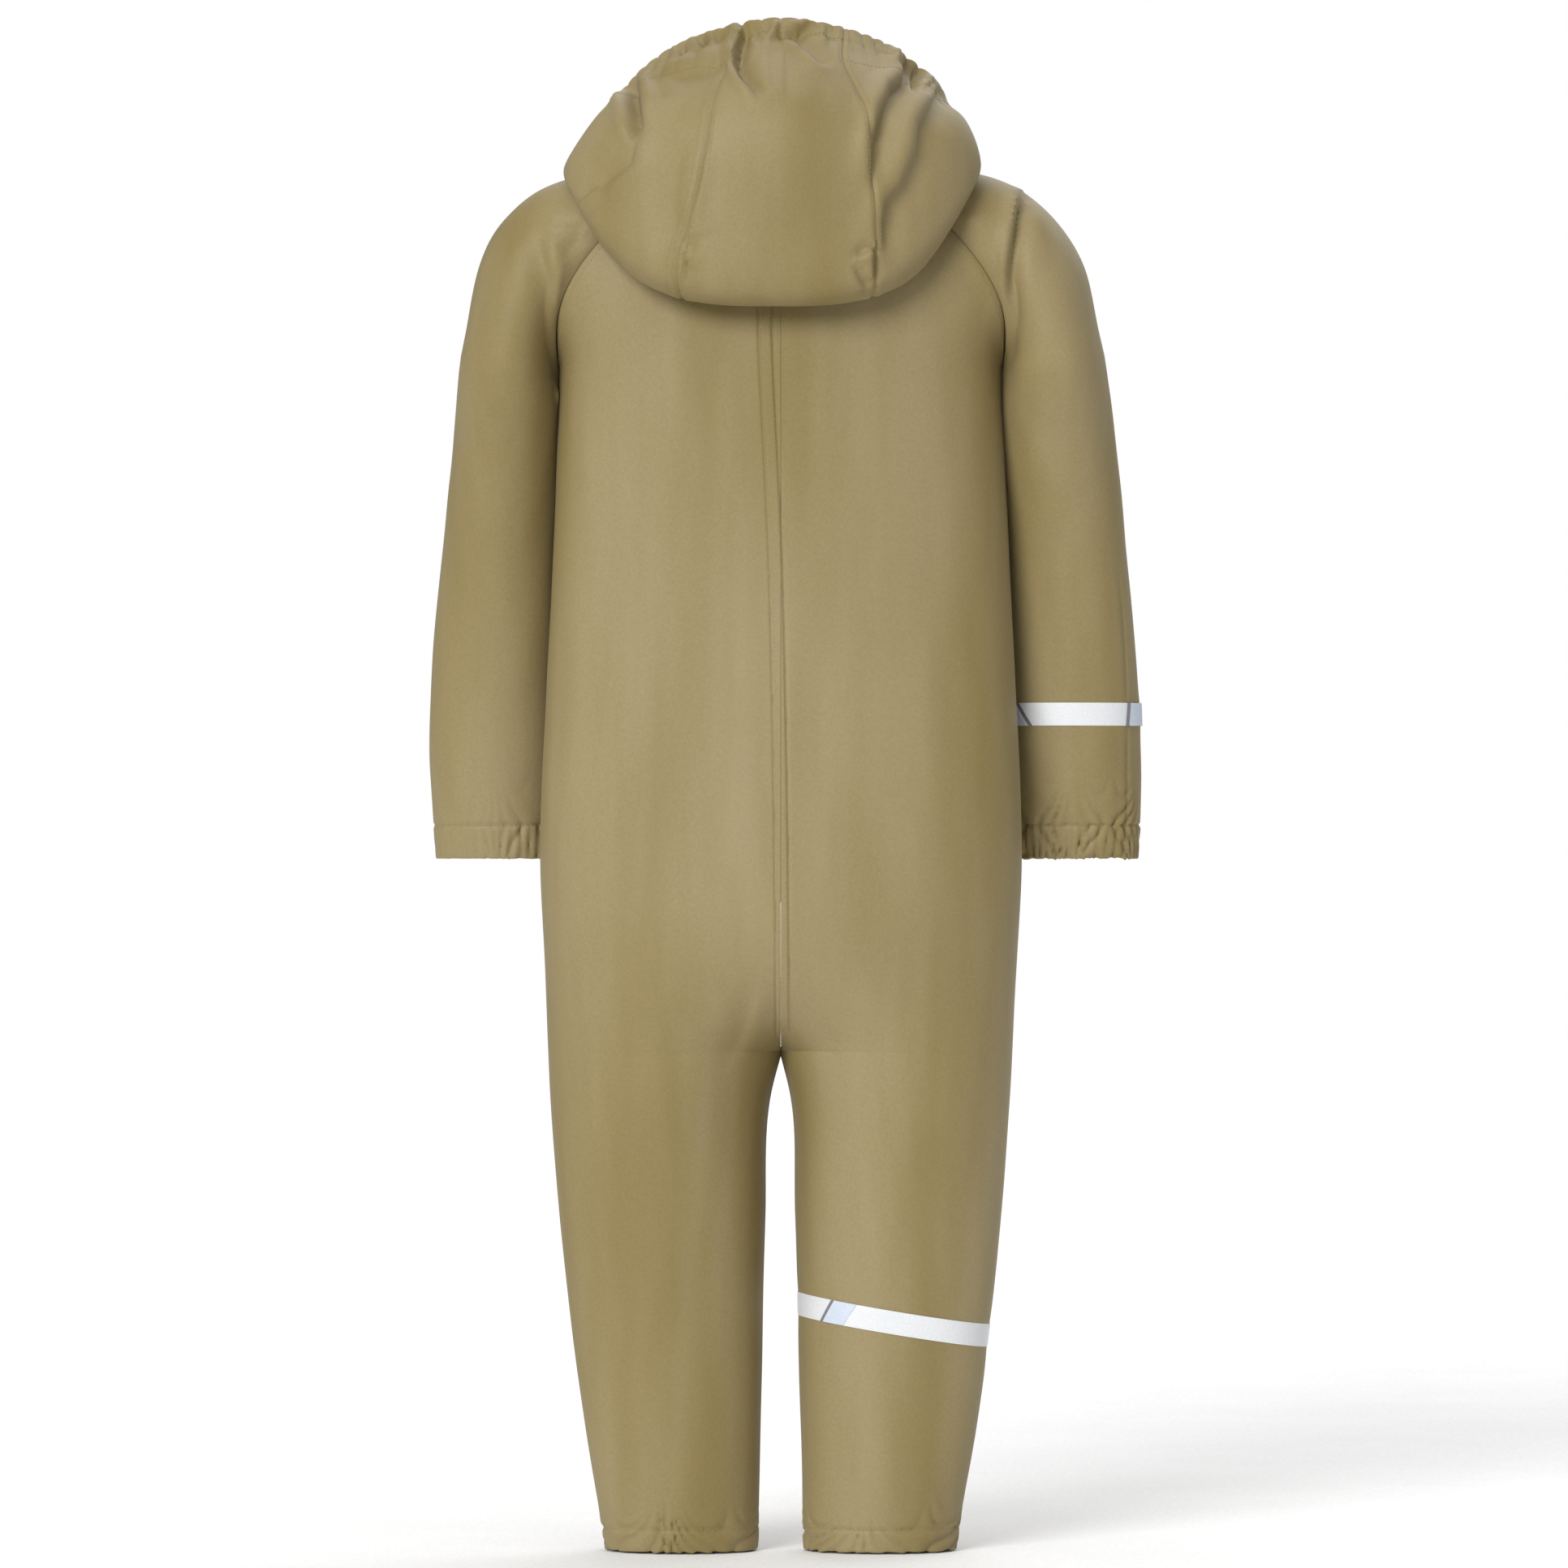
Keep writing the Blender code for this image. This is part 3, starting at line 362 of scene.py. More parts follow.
# ---- meshes ---------------------------------------------------------------------------------
class Cloth:
    """A grid of points with outward normals, which point away from a core: a sheet not yet thick."""

    def __init__(self, points, core):
        self.core = core
        self.points = np.array(points, float)
        normals = np.cross(np.gradient(self.points, axis=1), np.gradient(self.points, axis=0))
        normals /= np.maximum(np.linalg.norm(normals, axis=-1, keepdims=True), 1e-12)
        inward = np.sum(normals * (self.points - core(self.points))) < 0
        self.normals = -normals if inward else normals

    def raised(self, relief):
        """The same sheet with its points moved outwards by the relief."""
        return Cloth(self.points + self.normals * relief[..., None], self.core)

    def from_ends(self):
        """Each point's distance along its row from the row's first and last points."""
        run = run_along(self.points, 1)
        return run, run[:, -1:] - run

    def girth(self):
        return float(self.from_ends()[0][:, -1].mean())

    def area(self):
        rows = self.points[1:, :-1] - self.points[:-1, :-1]
        columns = self.points[:-1, 1:] - self.points[:-1, :-1]
        return float(np.linalg.norm(np.cross(rows, columns), axis=-1).sum())

    def at(self, row, column):
        """Points and normals at fractional rows and columns."""
        row, column = np.broadcast_arrays(np.asarray(row, float), np.asarray(column, float))
        r = np.clip(row.astype(int), 0, self.points.shape[0] - 2)
        c = np.clip(column.astype(int), 0, self.points.shape[1] - 2)
        u, w = (row - r)[:, None], (column - c)[:, None]
        found = []
        for grid in (self.points, self.normals):
            low = grid[r, c] * (1 - w) + grid[r, c + 1] * w
            high = grid[r + 1, c] * (1 - w) + grid[r + 1, c + 1] * w
            found.append(low * (1 - u) + high * u)
        return found

    def across(self, row, count, inset=0.0):
        """A line of points and normals across the sheet at a fractional row."""
        return self.at(row, np.linspace(inset, self.points.shape[1] - 1 - inset, count))


def linked(name, data):
    obj = bpy.data.objects.new(name, data)
    bpy.context.scene.collection.objects.link(obj)
    return obj


def new_object(name, points, faces, materials, indices=None, sharp=60):
    """A mesh object from points in suit coordinates, smooth except across sharp edges."""
    mesh = bpy.data.meshes.new(name)
    faces = faces.tolist() if isinstance(faces, np.ndarray) else faces
    mesh.from_pydata((np.asarray(points) + SHIFT).tolist(), [], faces)
    for made in materials:
        mesh.materials.append(made)
    if indices is not None:
        mesh.polygons.foreach_set("material_index", np.asarray(indices, np.int32))
    mesh.shade_smooth()
    mesh.set_sharp_from_angle(angle=math.radians(sharp))
    return linked(name, mesh)


def sheet_object(name, cloth, materials, thickness=CLOTH):
    """A cloth sheet with an outer face, an inner face of the second material, and a rim."""
    rows, columns = cloth.points.shape[:2]
    outer = cloth.points.reshape(-1, 3)
    inner = (cloth.points - cloth.normals * thickness).reshape(-1, 3)
    index = np.arange(rows * columns).reshape(rows, columns)
    first = index[:-1, :-1].ravel()
    faces = np.stack([first, first + 1, first + columns + 1, first + columns], axis=1)
    border = np.concatenate([index[0, :-1], index[:-1, -1], index[-1, :0:-1], index[:0:-1, 0]])
    following = np.roll(border, -1)
    rim = np.stack([border, following, following + index.size, border + index.size], axis=1)
    a, b, c = outer[faces[:, 0]], outer[faces[:, 1]], outer[faces[:, 2]]
    if np.sum(np.cross(b - a, c - a) * cloth.normals.reshape(-1, 3)[faces[:, 0]]) < 0:
        faces = faces[:, ::-1]
    else:
        rim = rim[:, ::-1]
    everything = np.concatenate([faces, faces[:, ::-1] + index.size, rim])
    indices = np.concatenate([np.zeros(len(faces)), np.ones(len(faces)), np.zeros(len(rim))])
    return new_object(name, np.concatenate([outer, inner]), everything, materials, indices)


def hem_fold(cloth, rows, last=False):
    """The sheet with its first rows (or last) folded under: round the edge and back up inside."""
    points, normals = cloth.points, cloth.normals
    if last:
        points, normals = points[::-1], normals[::-1]
    tangent = points[0] - points[1]
    tangent /= np.linalg.norm(tangent, axis=-1, keepdims=True)
    fold = [points[0] + tangent * HEM_RADIUS * math.sin(a) - normals[0] * HEM_RADIUS * (1 - math.cos(a))
            for a in np.linspace(math.pi, 0, 7)[:-1]]
    wall = [points[k] - normals[k] * 2 * HEM_RADIUS for k in range(rows, 0, -1)]
    made = np.concatenate([wall, fold, points])
    grown = Cloth(made[::-1] if last else made, cloth.core)
    face = grown.normals[:len(points)] if last else grown.normals[-len(points):]
    if np.sum(face * cloth.normals) < 0:
        grown.normals = -grown.normals
    return grown


def loft_faces(first, count, size):
    """Faces of a solid of closed sections, their points numbered on from first."""
    faces = []
    for a in range(first, first + (count - 1) * size, size):
        for j in range(size):
            k = (j + 1) % size
            faces.append((a + j, a + k, a + size + k, a + size + j))
    last = first + (count - 1) * size
    return faces + [tuple(range(first, first + size))[::-1], tuple(range(last, last + size))]


def tube(name, sections, material, sharp):
    """A solid with a section of points carried along a line."""
    sections = np.array(sections, float)
    points = sections.reshape(-1, 3)
    faces = loft_faces(0, *sections.shape[:2])
    corners = points - points.mean(axis=0)
    if sum(corners[f[0]] @ np.cross(corners[f[1]], corners[f[2]]) for f in faces) < 0:
        faces = [f[::-1] for f in faces]
    return new_object(name, points, faces, [material], sharp=sharp)


# ---- materials ------------------------------------------------------------------------------
def material(name, colour, second, roughness, metallic=0.0, grain=0.0, grain_size=900,
             mottle_size=9.0, sheen=0.0, weave=None, coat=0.0, specular=0.5, streak=0.28):
    """A procedural material: two tones in soft patches, fine grain or a weave in its bump."""
    made = bpy.data.materials.new(name)
    made.use_nodes = True
    tree = made.node_tree
    shader = tree.nodes["Principled BSDF"]

    def fill(added, values, links):
        for key, value in values.items():
            added.inputs[key].default_value = value
        for key, output in dict(links).items():
            tree.links.new(output, added.inputs[key])
        return added

    def node(kind, links=(), **values):
        return fill(tree.nodes.new("ShaderNode" + kind), values, links)

    place = node("TexCoord").outputs["Object"]
    stretch = node("Mapping", {"Vector": place}, Scale=(1.0, 1.0, streak))
    patches = node("TexNoise", {"Vector": stretch.outputs[0]}, Scale=mottle_size, Detail=3.0,
                   Roughness=0.55).outputs["Fac"]
    ramp = node("ValToRGB", {"Fac": patches})
    for element, position, tone in zip(ramp.color_ramp.elements, (0.36, 0.64), (colour, second)):
        element.position = position
        element.color = (*tone, 1)
    specks = node("TexNoise", {"Vector": place}, Scale=grain_size * 0.35, Detail=2.0)
    shade = node("Mix")
    shade.data_type = "RGBA"
    shade.blend_type = "MULTIPLY"
    fill(shade, {"Factor": 0.22}, {"A": ramp.outputs["Color"], "B": specks.outputs["Fac"]})
    lift = node("HueSaturation", {"Color": shade.outputs["Result"]}, Value=1.12)
    rough = node("MapRange", {"Value": patches},
                 **{"To Min": roughness - 0.06, "To Max": roughness + 0.06})
    fill(shader, {"Metallic": metallic, "Specular IOR Level": specular, "Sheen Weight": sheen,
                  "Coat Weight": coat, "Coat Roughness": 0.35},
         {"Base Color": lift.outputs["Color"], "Roughness": rough.outputs["Result"]})

    height = None
    if grain:
        height = node("TexVoronoi", {"Vector": place}, Scale=grain_size).outputs["Distance"]
    if weave:
        threads = []
        for direction in "XZ":
            threads.append(node("TexWave", {"Vector": place}, Scale=weave, Distortion=0.6))
            threads[-1].bands_direction = direction
        both = node("Math", {i: thread.outputs["Fac"] for i, thread in enumerate(threads)})
        both.operation = "MULTIPLY"
        height = both.outputs[0]
    if height is not None:
        bump = node("Bump", {"Height": height}, Strength=grain or 0.5, Distance=0.0002)
        fill(shader, {}, {"Normal": bump.outputs["Normal"]})
    return made


FABRIC = material("coated fabric", (0.205, 0.154, 0.055), (0.262, 0.208, 0.103), 0.56, grain=0.25,
                  grain_size=1500, sheen=0.03, specular=0.28, mottle_size=13.0, streak=0.14)
LINING = material("knitted backing", (0.30, 0.24, 0.13), (0.35, 0.28, 0.16), 0.85, weave=260,
                  sheen=0.2)
THREAD = material("sewing thread", (0.25, 0.195, 0.085), (0.29, 0.23, 0.10), 0.55, grain=0.4,
                  grain_size=3000)
TAPE = material("reflective tape", (0.60, 0.615, 0.635), (0.66, 0.675, 0.69), 0.38, grain=0.3,
                grain_size=2600, mottle_size=14.0, coat=0.3)
TAPE_LAP = material("reflective tape under its lap", (0.50, 0.56, 0.66), (0.56, 0.61, 0.70), 0.36,
                    grain=0.3, grain_size=2600, mottle_size=20.0, coat=0.3)
# painted shade: a dark copy of the tape's colour for narrow strips beside a lap's edge, where the lap's
# step shades the tape
TAPE_LAP_EDGE_SHADE = material("cut edge of the tape", (0.145, 0.150, 0.185), (0.175, 0.18, 0.21), 0.5,
                    grain=0.3, grain_size=2600)
ELASTIC = material("woven elastic", (0.20, 0.155, 0.075), (0.235, 0.185, 0.09), 0.85, weave=420)
WEBBING = material("webbing", (0.27, 0.21, 0.10), (0.31, 0.245, 0.12), 0.75, weave=360, sheen=0.2)
ZIP_TAPE = material("zip tape", (0.29, 0.225, 0.11), (0.33, 0.26, 0.13), 0.78, weave=500, sheen=0.2)
TEETH = material("moulded teeth", (0.25, 0.19, 0.09), (0.28, 0.215, 0.105), 0.36, grain=0.1,
                 grain_size=2500)
METAL = material("antique brass", (0.36, 0.31, 0.22), (0.42, 0.37, 0.27), 0.32, metallic=0.9,
                 grain=0.1, grain_size=1800, mottle_size=60.0)
SNAP = material("snap", (0.30, 0.235, 0.11), (0.33, 0.26, 0.125), 0.34, grain=0.1, grain_size=2200)
LABEL = material("label satin", (0.80, 0.78, 0.72), (0.86, 0.84, 0.78), 0.6, weave=520, sheen=0.2)


def on_leg(obj):
    """Cloth from the body to a leg, with its transform baked into its mesh; it is put on no body."""
    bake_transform(obj)


def on_sleeve(obj):
    """Cloth from the raglan seam to the sleeve, with its transform baked into its mesh; it is put on no
    body.
    """
    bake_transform(obj)


def on_hood(obj):
    """Cloth of the hood, from its neck edge at the band to its crown, with its transform baked into its
    mesh; it is put on no body.
    """
    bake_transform(obj)


def settle(obj, slot, body, *nodes):
    """Hides the CAD nodes a piece replaces and puts it on its body, if it has one. The slot is not
    used.
    """
    if nodes:
        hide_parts(*nodes)
    if body:
        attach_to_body(obj, body)
    return obj


# ---- stitching ------------------------------------------------------------------------------
STITCH = 0.0028             # from the start of one stitch to the start of the next
STITCH_LENGTH = 0.0021
THREAD_RADIUS = 0.00022


def stitch_mesh(name, lines, body=None):
    """Separate stitches along lines of (points, normals), each dipping into the cloth at its ends."""
    points, faces = [], []
    ring = [(math.cos(a), math.sin(a)) for a in circle(5)]
    profile = [(-0.5, 0.3, -0.7), (-0.3, 1.0, 0.55), (0.3, 1.0, 0.55), (0.5, 0.3, -0.7)]
    for line, normals in lines:
        run = run_along(line)
        places = np.arange(STITCH / 2, run[-1], STITCH)
        centres = spread(places, run, line)
        ahead = spread(places + 0.0005, run, line) - centres
        for centre, forward, up in zip(centres, ahead, spread(places, run, normals)):
            if np.linalg.norm(forward) < 1e-7:
                continue
            forward = forward / np.linalg.norm(forward)
            up = up / np.linalg.norm(up)
            across = np.cross(forward, up)
            faces += loft_faces(len(points), len(profile), len(ring))
            for share, radius, height in profile:
                middle = centre + forward * share * STITCH_LENGTH + up * height * THREAD_RADIUS
                points += [middle + (across * c + up * s) * radius * THREAD_RADIUS for c, s in ring]
    return settle(new_object(name, points, faces, [THREAD]), "lining_trim", body)


def hung_panel(name, plain, folded, nodes, attach, stitching, lines):
    """A panel of coated fabric with its folded hem, and its stitching, both with their transforms baked
    in; the CAD nodes it replaces are hidden.
    """
    obj = sheet_object(name, folded, [FABRIC, LINING])
    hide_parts(*nodes)
    attach(obj)
    round(plain.area(), 3)
    attach(stitch_mesh(stitching, lines))


RAGLAN_STITCH = 0.0045      # distances of stitching from its edge
ZIP_STITCH = 0.0052
CENTRE_STITCH = 0.0016
HOOD_STITCH = 0.0035
LEFT_HOOD_STITCH = 0.0075   # a second line, on the left side panel only
COLLAR_STITCHES = (-0.0035, 0.0030)     # below the collar's top and above its foot


def edge_line(cloth, rows, distance, end):
    """A line along a sheet's first column (end 0) or last (end 1), at a distance from it."""
    run = cloth.from_ends()[end][np.round(rows).astype(int)]
    numbers = np.arange(cloth.points.shape[1], dtype=float)
    turn = -1 if end else 1
    columns = [np.interp(distance, one[::turn], numbers[::turn]) for one in run]
    return cloth.at(rows, columns)


# ---- the body and legs ----------------------------------------------------------------------
# creases of the back, in suit (x, z); the shoulder of a crease lies on its line's left
BODY_CREASES = [
    ([(30, 325), (22, 345), (16, 372)], 5, 0.8, 0.4),
    ([(-34, 330), (-24, 352), (-18, 384)], 5, 0.8, 0.4),
]
CENTRE_SEAM = [(0.320, -0.0018), (0.500, -0.0002), (0.650, 0.0032), (0.800, 0.0100), (0.900, 0.0115)]
SEAM_BAND = 0.0086          # width of the flat-felled seam up the centre back
BODY_COLUMNS = 108
CLOSE_COLUMNS = 28
CLOSE_STRIP = 0.0175        # width of the strip beside the centre that has the closer columns
HEM_ROW, BODY_ROW, SLEEVE_ROW = 0.0015, 0.0035, 0.0032      # distances between rows of points
YOKE_ROWS = 40
RAGLAN_DIP = 0.0003         # depth of the valley at the raglan seams


def leg_core(points):
    """A line up the middle of each leg and then of the body."""
    z = points[..., 2]
    x = np.sign(points[..., 0].mean()) * leg_middle(z) * (1 - step(0.30, 0.40, z))
    return np.stack([x, np.zeros_like(z), z], axis=-1)


def resampled(row):
    """A row's points spread along it, closest beside its first point, where the fine seams are."""
    run = run_along(row)
    close = np.linspace(0, CLOSE_STRIP, CLOSE_COLUMNS + 1)[:-1]
    wide = np.linspace(CLOSE_STRIP, run[-1], BODY_COLUMNS - CLOSE_COLUMNS + 1)
    return spread(np.concatenate([close, wide]), run, row)


def body_heights():
    """Row heights from hem to armpit, closer where the surface turns or gathers."""
    hem = np.arange(HEM_RADIUS, 0.040, HEM_ROW)
    leg = np.arange(0.0425, CROTCH_Z - 0.012, BODY_ROW)
    fork = CROTCH_Z - 0.010 * (1 - np.linspace(0, 1, 7)[:-1]) ** 1.5
    w = np.linspace(0.03, 0.85, 24)
    crotch = CROTCH_Z + (SEAT_Z - CROTCH_Z) * (1 - np.sqrt(1 - w**2))
    trunk = np.arange(crotch[-1] + BODY_ROW, ARMPIT_Z - 0.002, BODY_ROW)
    return np.concatenate([hem, leg, fork, crotch, trunk, [ARMPIT_Z]])


BODY_HEIGHTS = body_heights()


def half_body(back):
    """The undecorated left half of the back or front, from the hem to the neckline."""
    s = np.linspace(0, 1, 161)
    rows = []
    for z in BODY_HEIGHTS:
        row = lower_row(z, s, back)
        if z > CROTCH_Z:
            edge = SEAM
            if not back:
                edge += (PLACKET - SEAM) * float(step(SEAT_Z - 0.004, SEAT_Z + 0.002, z))
                if row[0, 0] > edge + 1e-5:
                    row = np.concatenate([row[:1], row])
            row[0, 0] = edge
        rows.append(resampled(row))
    for share in np.linspace(0, 1, YOKE_ROWS + 1)[1:]:
        row = upper_row(share, s, back)
        edge = row[:1] * (0, 1, 1) + (SEAM if back else PLACKET, 0, 0)
        rows.append(resampled(np.concatenate([edge, row[1 if back else 0:]])))
    return np.array(rows)


def hem_gathers(points, sign, seed):
    """Small irregular gathers just above a leg's elastic hem."""
    z = points[..., 2]
    turn = np.arctan2(points[..., 1], points[..., 0] - sign * leg_middle(z))
    deep = waves(points, seed + 5, 0.03, (1, 1, 0)) * 0.5 + 0.5
    fade = bell(np.maximum(z - 0.010, 0), 0.006 + 0.014 * deep)
    slanted = turn + 2.2 * z / 0.06 * np.sin(3 * turn + seed)
    return (pleats(slanted, 20, seed) - 0.7) * 0.0030 * fade * (0.25 + 0.75 * deep)


def body_relief(cloth, back, sign):
    """Relief of a half, given on its final side of the body."""
    points = cloth.points
    x, y, z = np.moveaxis(points, -1, 0)
    first, last = cloth.from_ends()
    relief = waves(points, 3, 0.075) * 0.0011 * step(0.02, 0.08, z)
    relief += waves(points, 4, 0.030, (1, 1, 0.35)) * 0.00022
    relief *= 1 - step(0.69, 0.74, z) * (1 - step(0.002, 0.016, last))
    relief += hem_gathers(points, sign, 21 if sign > 0 else 34)
    relief += seam_relief(last, RAGLAN_DIP) - 0.0007 * bell(z - LEG_HEM, 0.0009)
    if back:
        relief += seam_relief(first) * (1 - step(CROTCH_Z - 0.004, CROTCH_Z + 0.004, z))
        off = np.abs(x - smooth(CENTRE_SEAM, z)) - SEAM_BAND / 2
        felled = 0.0005 * (1 - step(-0.0012, 0.0002, off)) - 0.0008 * bell(off, 0.0010)
        relief += felled * step(CROTCH_Z + 0.004, CROTCH_Z + 0.02, z)
        relief += crease_relief(points, BODY_CREASES) * step(0.0, 0.02, y)
    else:
        opening = step(SEAT_Z - 0.006, SEAT_Z + 0.002, z)
        relief += seam_relief(first) * (1 - opening)
        relief *= 1 - opening * (1 - step(0.010, 0.028, np.abs(x)))
        relief -= 0.0005 * bell(first - ZIP_STITCH, 0.0008) * opening
    if sign < 0:
        band_z = LEG_BAND_Z + LEG_BAND_SLOPE * (np.abs(x) - leg_middle(z))
        relief *= calm(z - band_z)
    return relief


def body_piece(side, back):
    plain = Cloth(half_body(back) * (SIGN[side], 1, 1), leg_core)
    shaped = plain.raised(body_relief(plain, back, SIGN[side]))
    folded = hem_fold(shaped, int(np.searchsorted(BODY_HEIGHTS, LEG_HEM)))
    rows = len(shaped.points)
    yoke = np.arange(len(BODY_HEIGHTS), rows - 0.5, 0.5)
    lines = [shaped.across(row_at(LEG_HEM, BODY_HEIGHTS), 200),
             edge_line(shaped, yoke, RAGLAN_STITCH, 1)]
    kind = "back" if back else "front"
    nodes = [f"{side}_{kind}_panel", f"{side}_leg_{kind}"]
    if back:
        nodes += [side + "_hip_fold", side + "_hem_casing"]
    else:
        above_seat = np.arange(row_at(SEAT_Z + 0.002, BODY_HEIGHTS), rows - 1, 0.5)
        lines.append(edge_line(shaped, above_seat, ZIP_STITCH, 0))
    hung_panel(f"{side}_{kind}", plain, folded, nodes, lambda obj: on_leg(obj),
               f"{side}_{kind}_stitching", lines)
    return shaped


def centre_stitching(left, right):
    """Two rows of stitches up the flat-felled centre back seam."""
    lines = []
    for edge in (-1, 1):
        found = []
        for z in np.arange(CROTCH_Z + 0.014, 0.885, 0.004):
            x = smooth(CENTRE_SEAM, z) + edge * (SEAM_BAND / 2 - CENTRE_STITCH)
            cloth = left if x > 0 else right
            row = int(np.argmin(np.abs(cloth.points[:, 0, 2] - z)))
            found.append(cloth.at([row], [row_at(abs(x), np.abs(cloth.points[row, :, 0]))]))
        lines.append(np.array(found)[:, :, 0].swapaxes(0, 1))
    stitch_mesh("centre_back_stitching", lines, "torso")


# ---- sleeves --------------------------------------------------------------------------------
SLEEVE_HALF = 90            # columns from the underarm to the outside of a sleeve
SLEEVE_SEAM_TURN = 142      # degrees round the right sleeve to its lengthwise seam
SLEEVE_SEEDS = {"left": 55, "right": 68}
SLEEVE_HEIGHTS = np.concatenate([np.arange(CUFF_Z + HEM_RADIUS, CUFF_Z + 0.07, HEM_ROW),
                                 np.arange(CUFF_Z + 0.0715, 0.768, SLEEVE_ROW)])
SLEEVE_CREASES = {
    "left": [
        ([(146, 760), (145.5, 785), (148, 815), (154.5, 842), (161, 862)], 6, 4, 2.6),
        ([(128, 857), (150, 858), (172, 872)], 7, 2.2, 1.2),
        ([(115, 845), (130, 848), (150, 844)], 7, 1.4, 1),
    ],
    "right": [
        ([(-157.5, 880), (-153.5, 860), (-150, 840), (-146.5, 812), (-145, 790), (-144.5, 770),
          (-144.5, 740)], 4, 6.4, 3.2),
        ([(-118, 872), (-140, 869), (-156, 866)], 6, 1.6, 0.8),
        ([(-140, 832), (-145, 812), (-147, 790)], 5, 1.6, 1),
    ],
}


def sleeve_core(points):
    z = points[..., 2]
    sign = np.sign(points[..., 0].mean())
    outer, inner, _, middle = np.moveaxis(smooth(SLEEVE, np.minimum(z, 0.77)), -1, 0)
    x = sign * np.where(z < 0.77, (outer + inner) / 2, 0.13)
    return np.stack([x, middle, np.minimum(z, 0.80)], axis=-1)


def flared(points):
    """The right sleeve stands a little further out towards its cuff than the left one."""
    share = np.clip((np.abs(points[..., 0]) - 0.144) / 0.084, 0, 1)
    out = 0.0062 * (1 - step(0.52, 0.90, points[..., 2])) + 0.0012
    return points - np.stack([out * share, out * 0, out * 0], axis=-1)


def cuff_gathers(points, side):
    x, y, z = np.abs(points[..., 0]), points[..., 1], points[..., 2]
    seed = SLEEVE_SEEDS[side]
    outer, inner, _, middle = np.moveaxis(smooth(SLEEVE, z), -1, 0)
    turn = np.arctan2(y - middle, x - (outer + inner) / 2)
    height = z - CUFF_Z - CUFF_HEM
    above = height > 0
    deep = waves(points, seed + 3, 0.022, (1, 1, 0)) * 0.5 + 0.5
    fade = np.where(above, bell(height, 0.010 + 0.022 * deep), 1.0)
    slanted = turn + 0.5 * np.sin(5 * turn + seed) * np.abs(height) / 0.03
    inside = pleats(slanted, 26, seed, 0.5) * 0.6 + pleats(turn, 41, seed + 1, 0.5) * 0.4
    mixed = np.where(above, pleats(slanted, 26, seed, 0.6), inside)
    if side == "left":
        flat_outside = 0.30 + 0.70 * (1 - step(0.165, 0.200, x))
        amount = flat_outside * np.where(above, 0.35 * (0.25 + 0.75 * deep), 0.85)
    else:
        amount = np.where(above, 0.25 + 0.75 * deep, 1.05)
    return (mixed - 0.75) * 0.0046 * fade * amount


def sleeve_relief(cloth, side):
    points = cloth.points
    z = points[..., 2]
    from_seam = np.minimum(*cloth.from_ends())
    relief = waves(points, 7, 0.06, (1, 1, 0.25)) * 0.0013 * step(CUFF_Z + 0.02, CUFF_Z + 0.07, z)
    relief += waves(points, 8, 0.028, (1, 1, 0.5)) * 0.00025
    relief *= step(0.0, 0.010, from_seam)
    relief += np.where(z < 0.74, cuff_gathers(points, side), 0.0)
    relief += seam_relief(from_seam, RAGLAN_DIP) - 0.0010 * bell(z - CUFF_Z - CUFF_HEM, 0.0010)
    open_cloth = step(0.0015, 0.0140, from_seam) * step(0.0, 0.02, points[..., 1])
    relief += crease_relief(points, SLEEVE_CREASES[side]) * open_cloth
    if side == "right":
        from_turn = np.abs(np.linspace(0, 360, 2 * SLEEVE_HALF + 1) - SLEEVE_SEAM_TURN)
        lengthwise = seam_relief(from_turn[None, :] * math.radians(1) * 0.037)
        relief += lengthwise * (1 - step(0.60, 0.66, z))
        relief *= calm(z - SLEEVE_BAND_Z)
    return relief


def sleeve_piece(side):
    turns = np.linspace(0, 2 * math.pi, 2 * SLEEVE_HALF + 1)
    rows = [sleeve_row(z, turns) for z in SLEEVE_HEIGHTS]
    rows += [shoulder_row(share, SLEEVE_HALF) for share in np.linspace(0.04, 1, 52)]
    base = np.array(rows) * (SIGN[side], 1, 1)
    if side == "right":
        base = flared(base)
    base[:, 0] += (base[:, 1] - base[:, 0]) * 0.04
    base[:, -1] += (base[:, -2] - base[:, -1]) * 0.04
    plain = Cloth(base, sleeve_core)
    shaped = plain.raised(sleeve_relief(plain, side))
    hem = CUFF_Z + CUFF_HEM
    folded = hem_fold(shaped, int(np.searchsorted(SLEEVE_HEIGHTS, hem)))
    lines = [shaped.across(row_at(hem, SLEEVE_HEIGHTS), 300)]
    nodes = [side + "_sleeve", side + "_shoulder", side + "_cuff_casing"]
    hung_panel(side + "_raglan_sleeve", plain, folded, nodes, lambda obj: on_sleeve(obj),
               side + "_sleeve_stitching", lines)
    return shaped


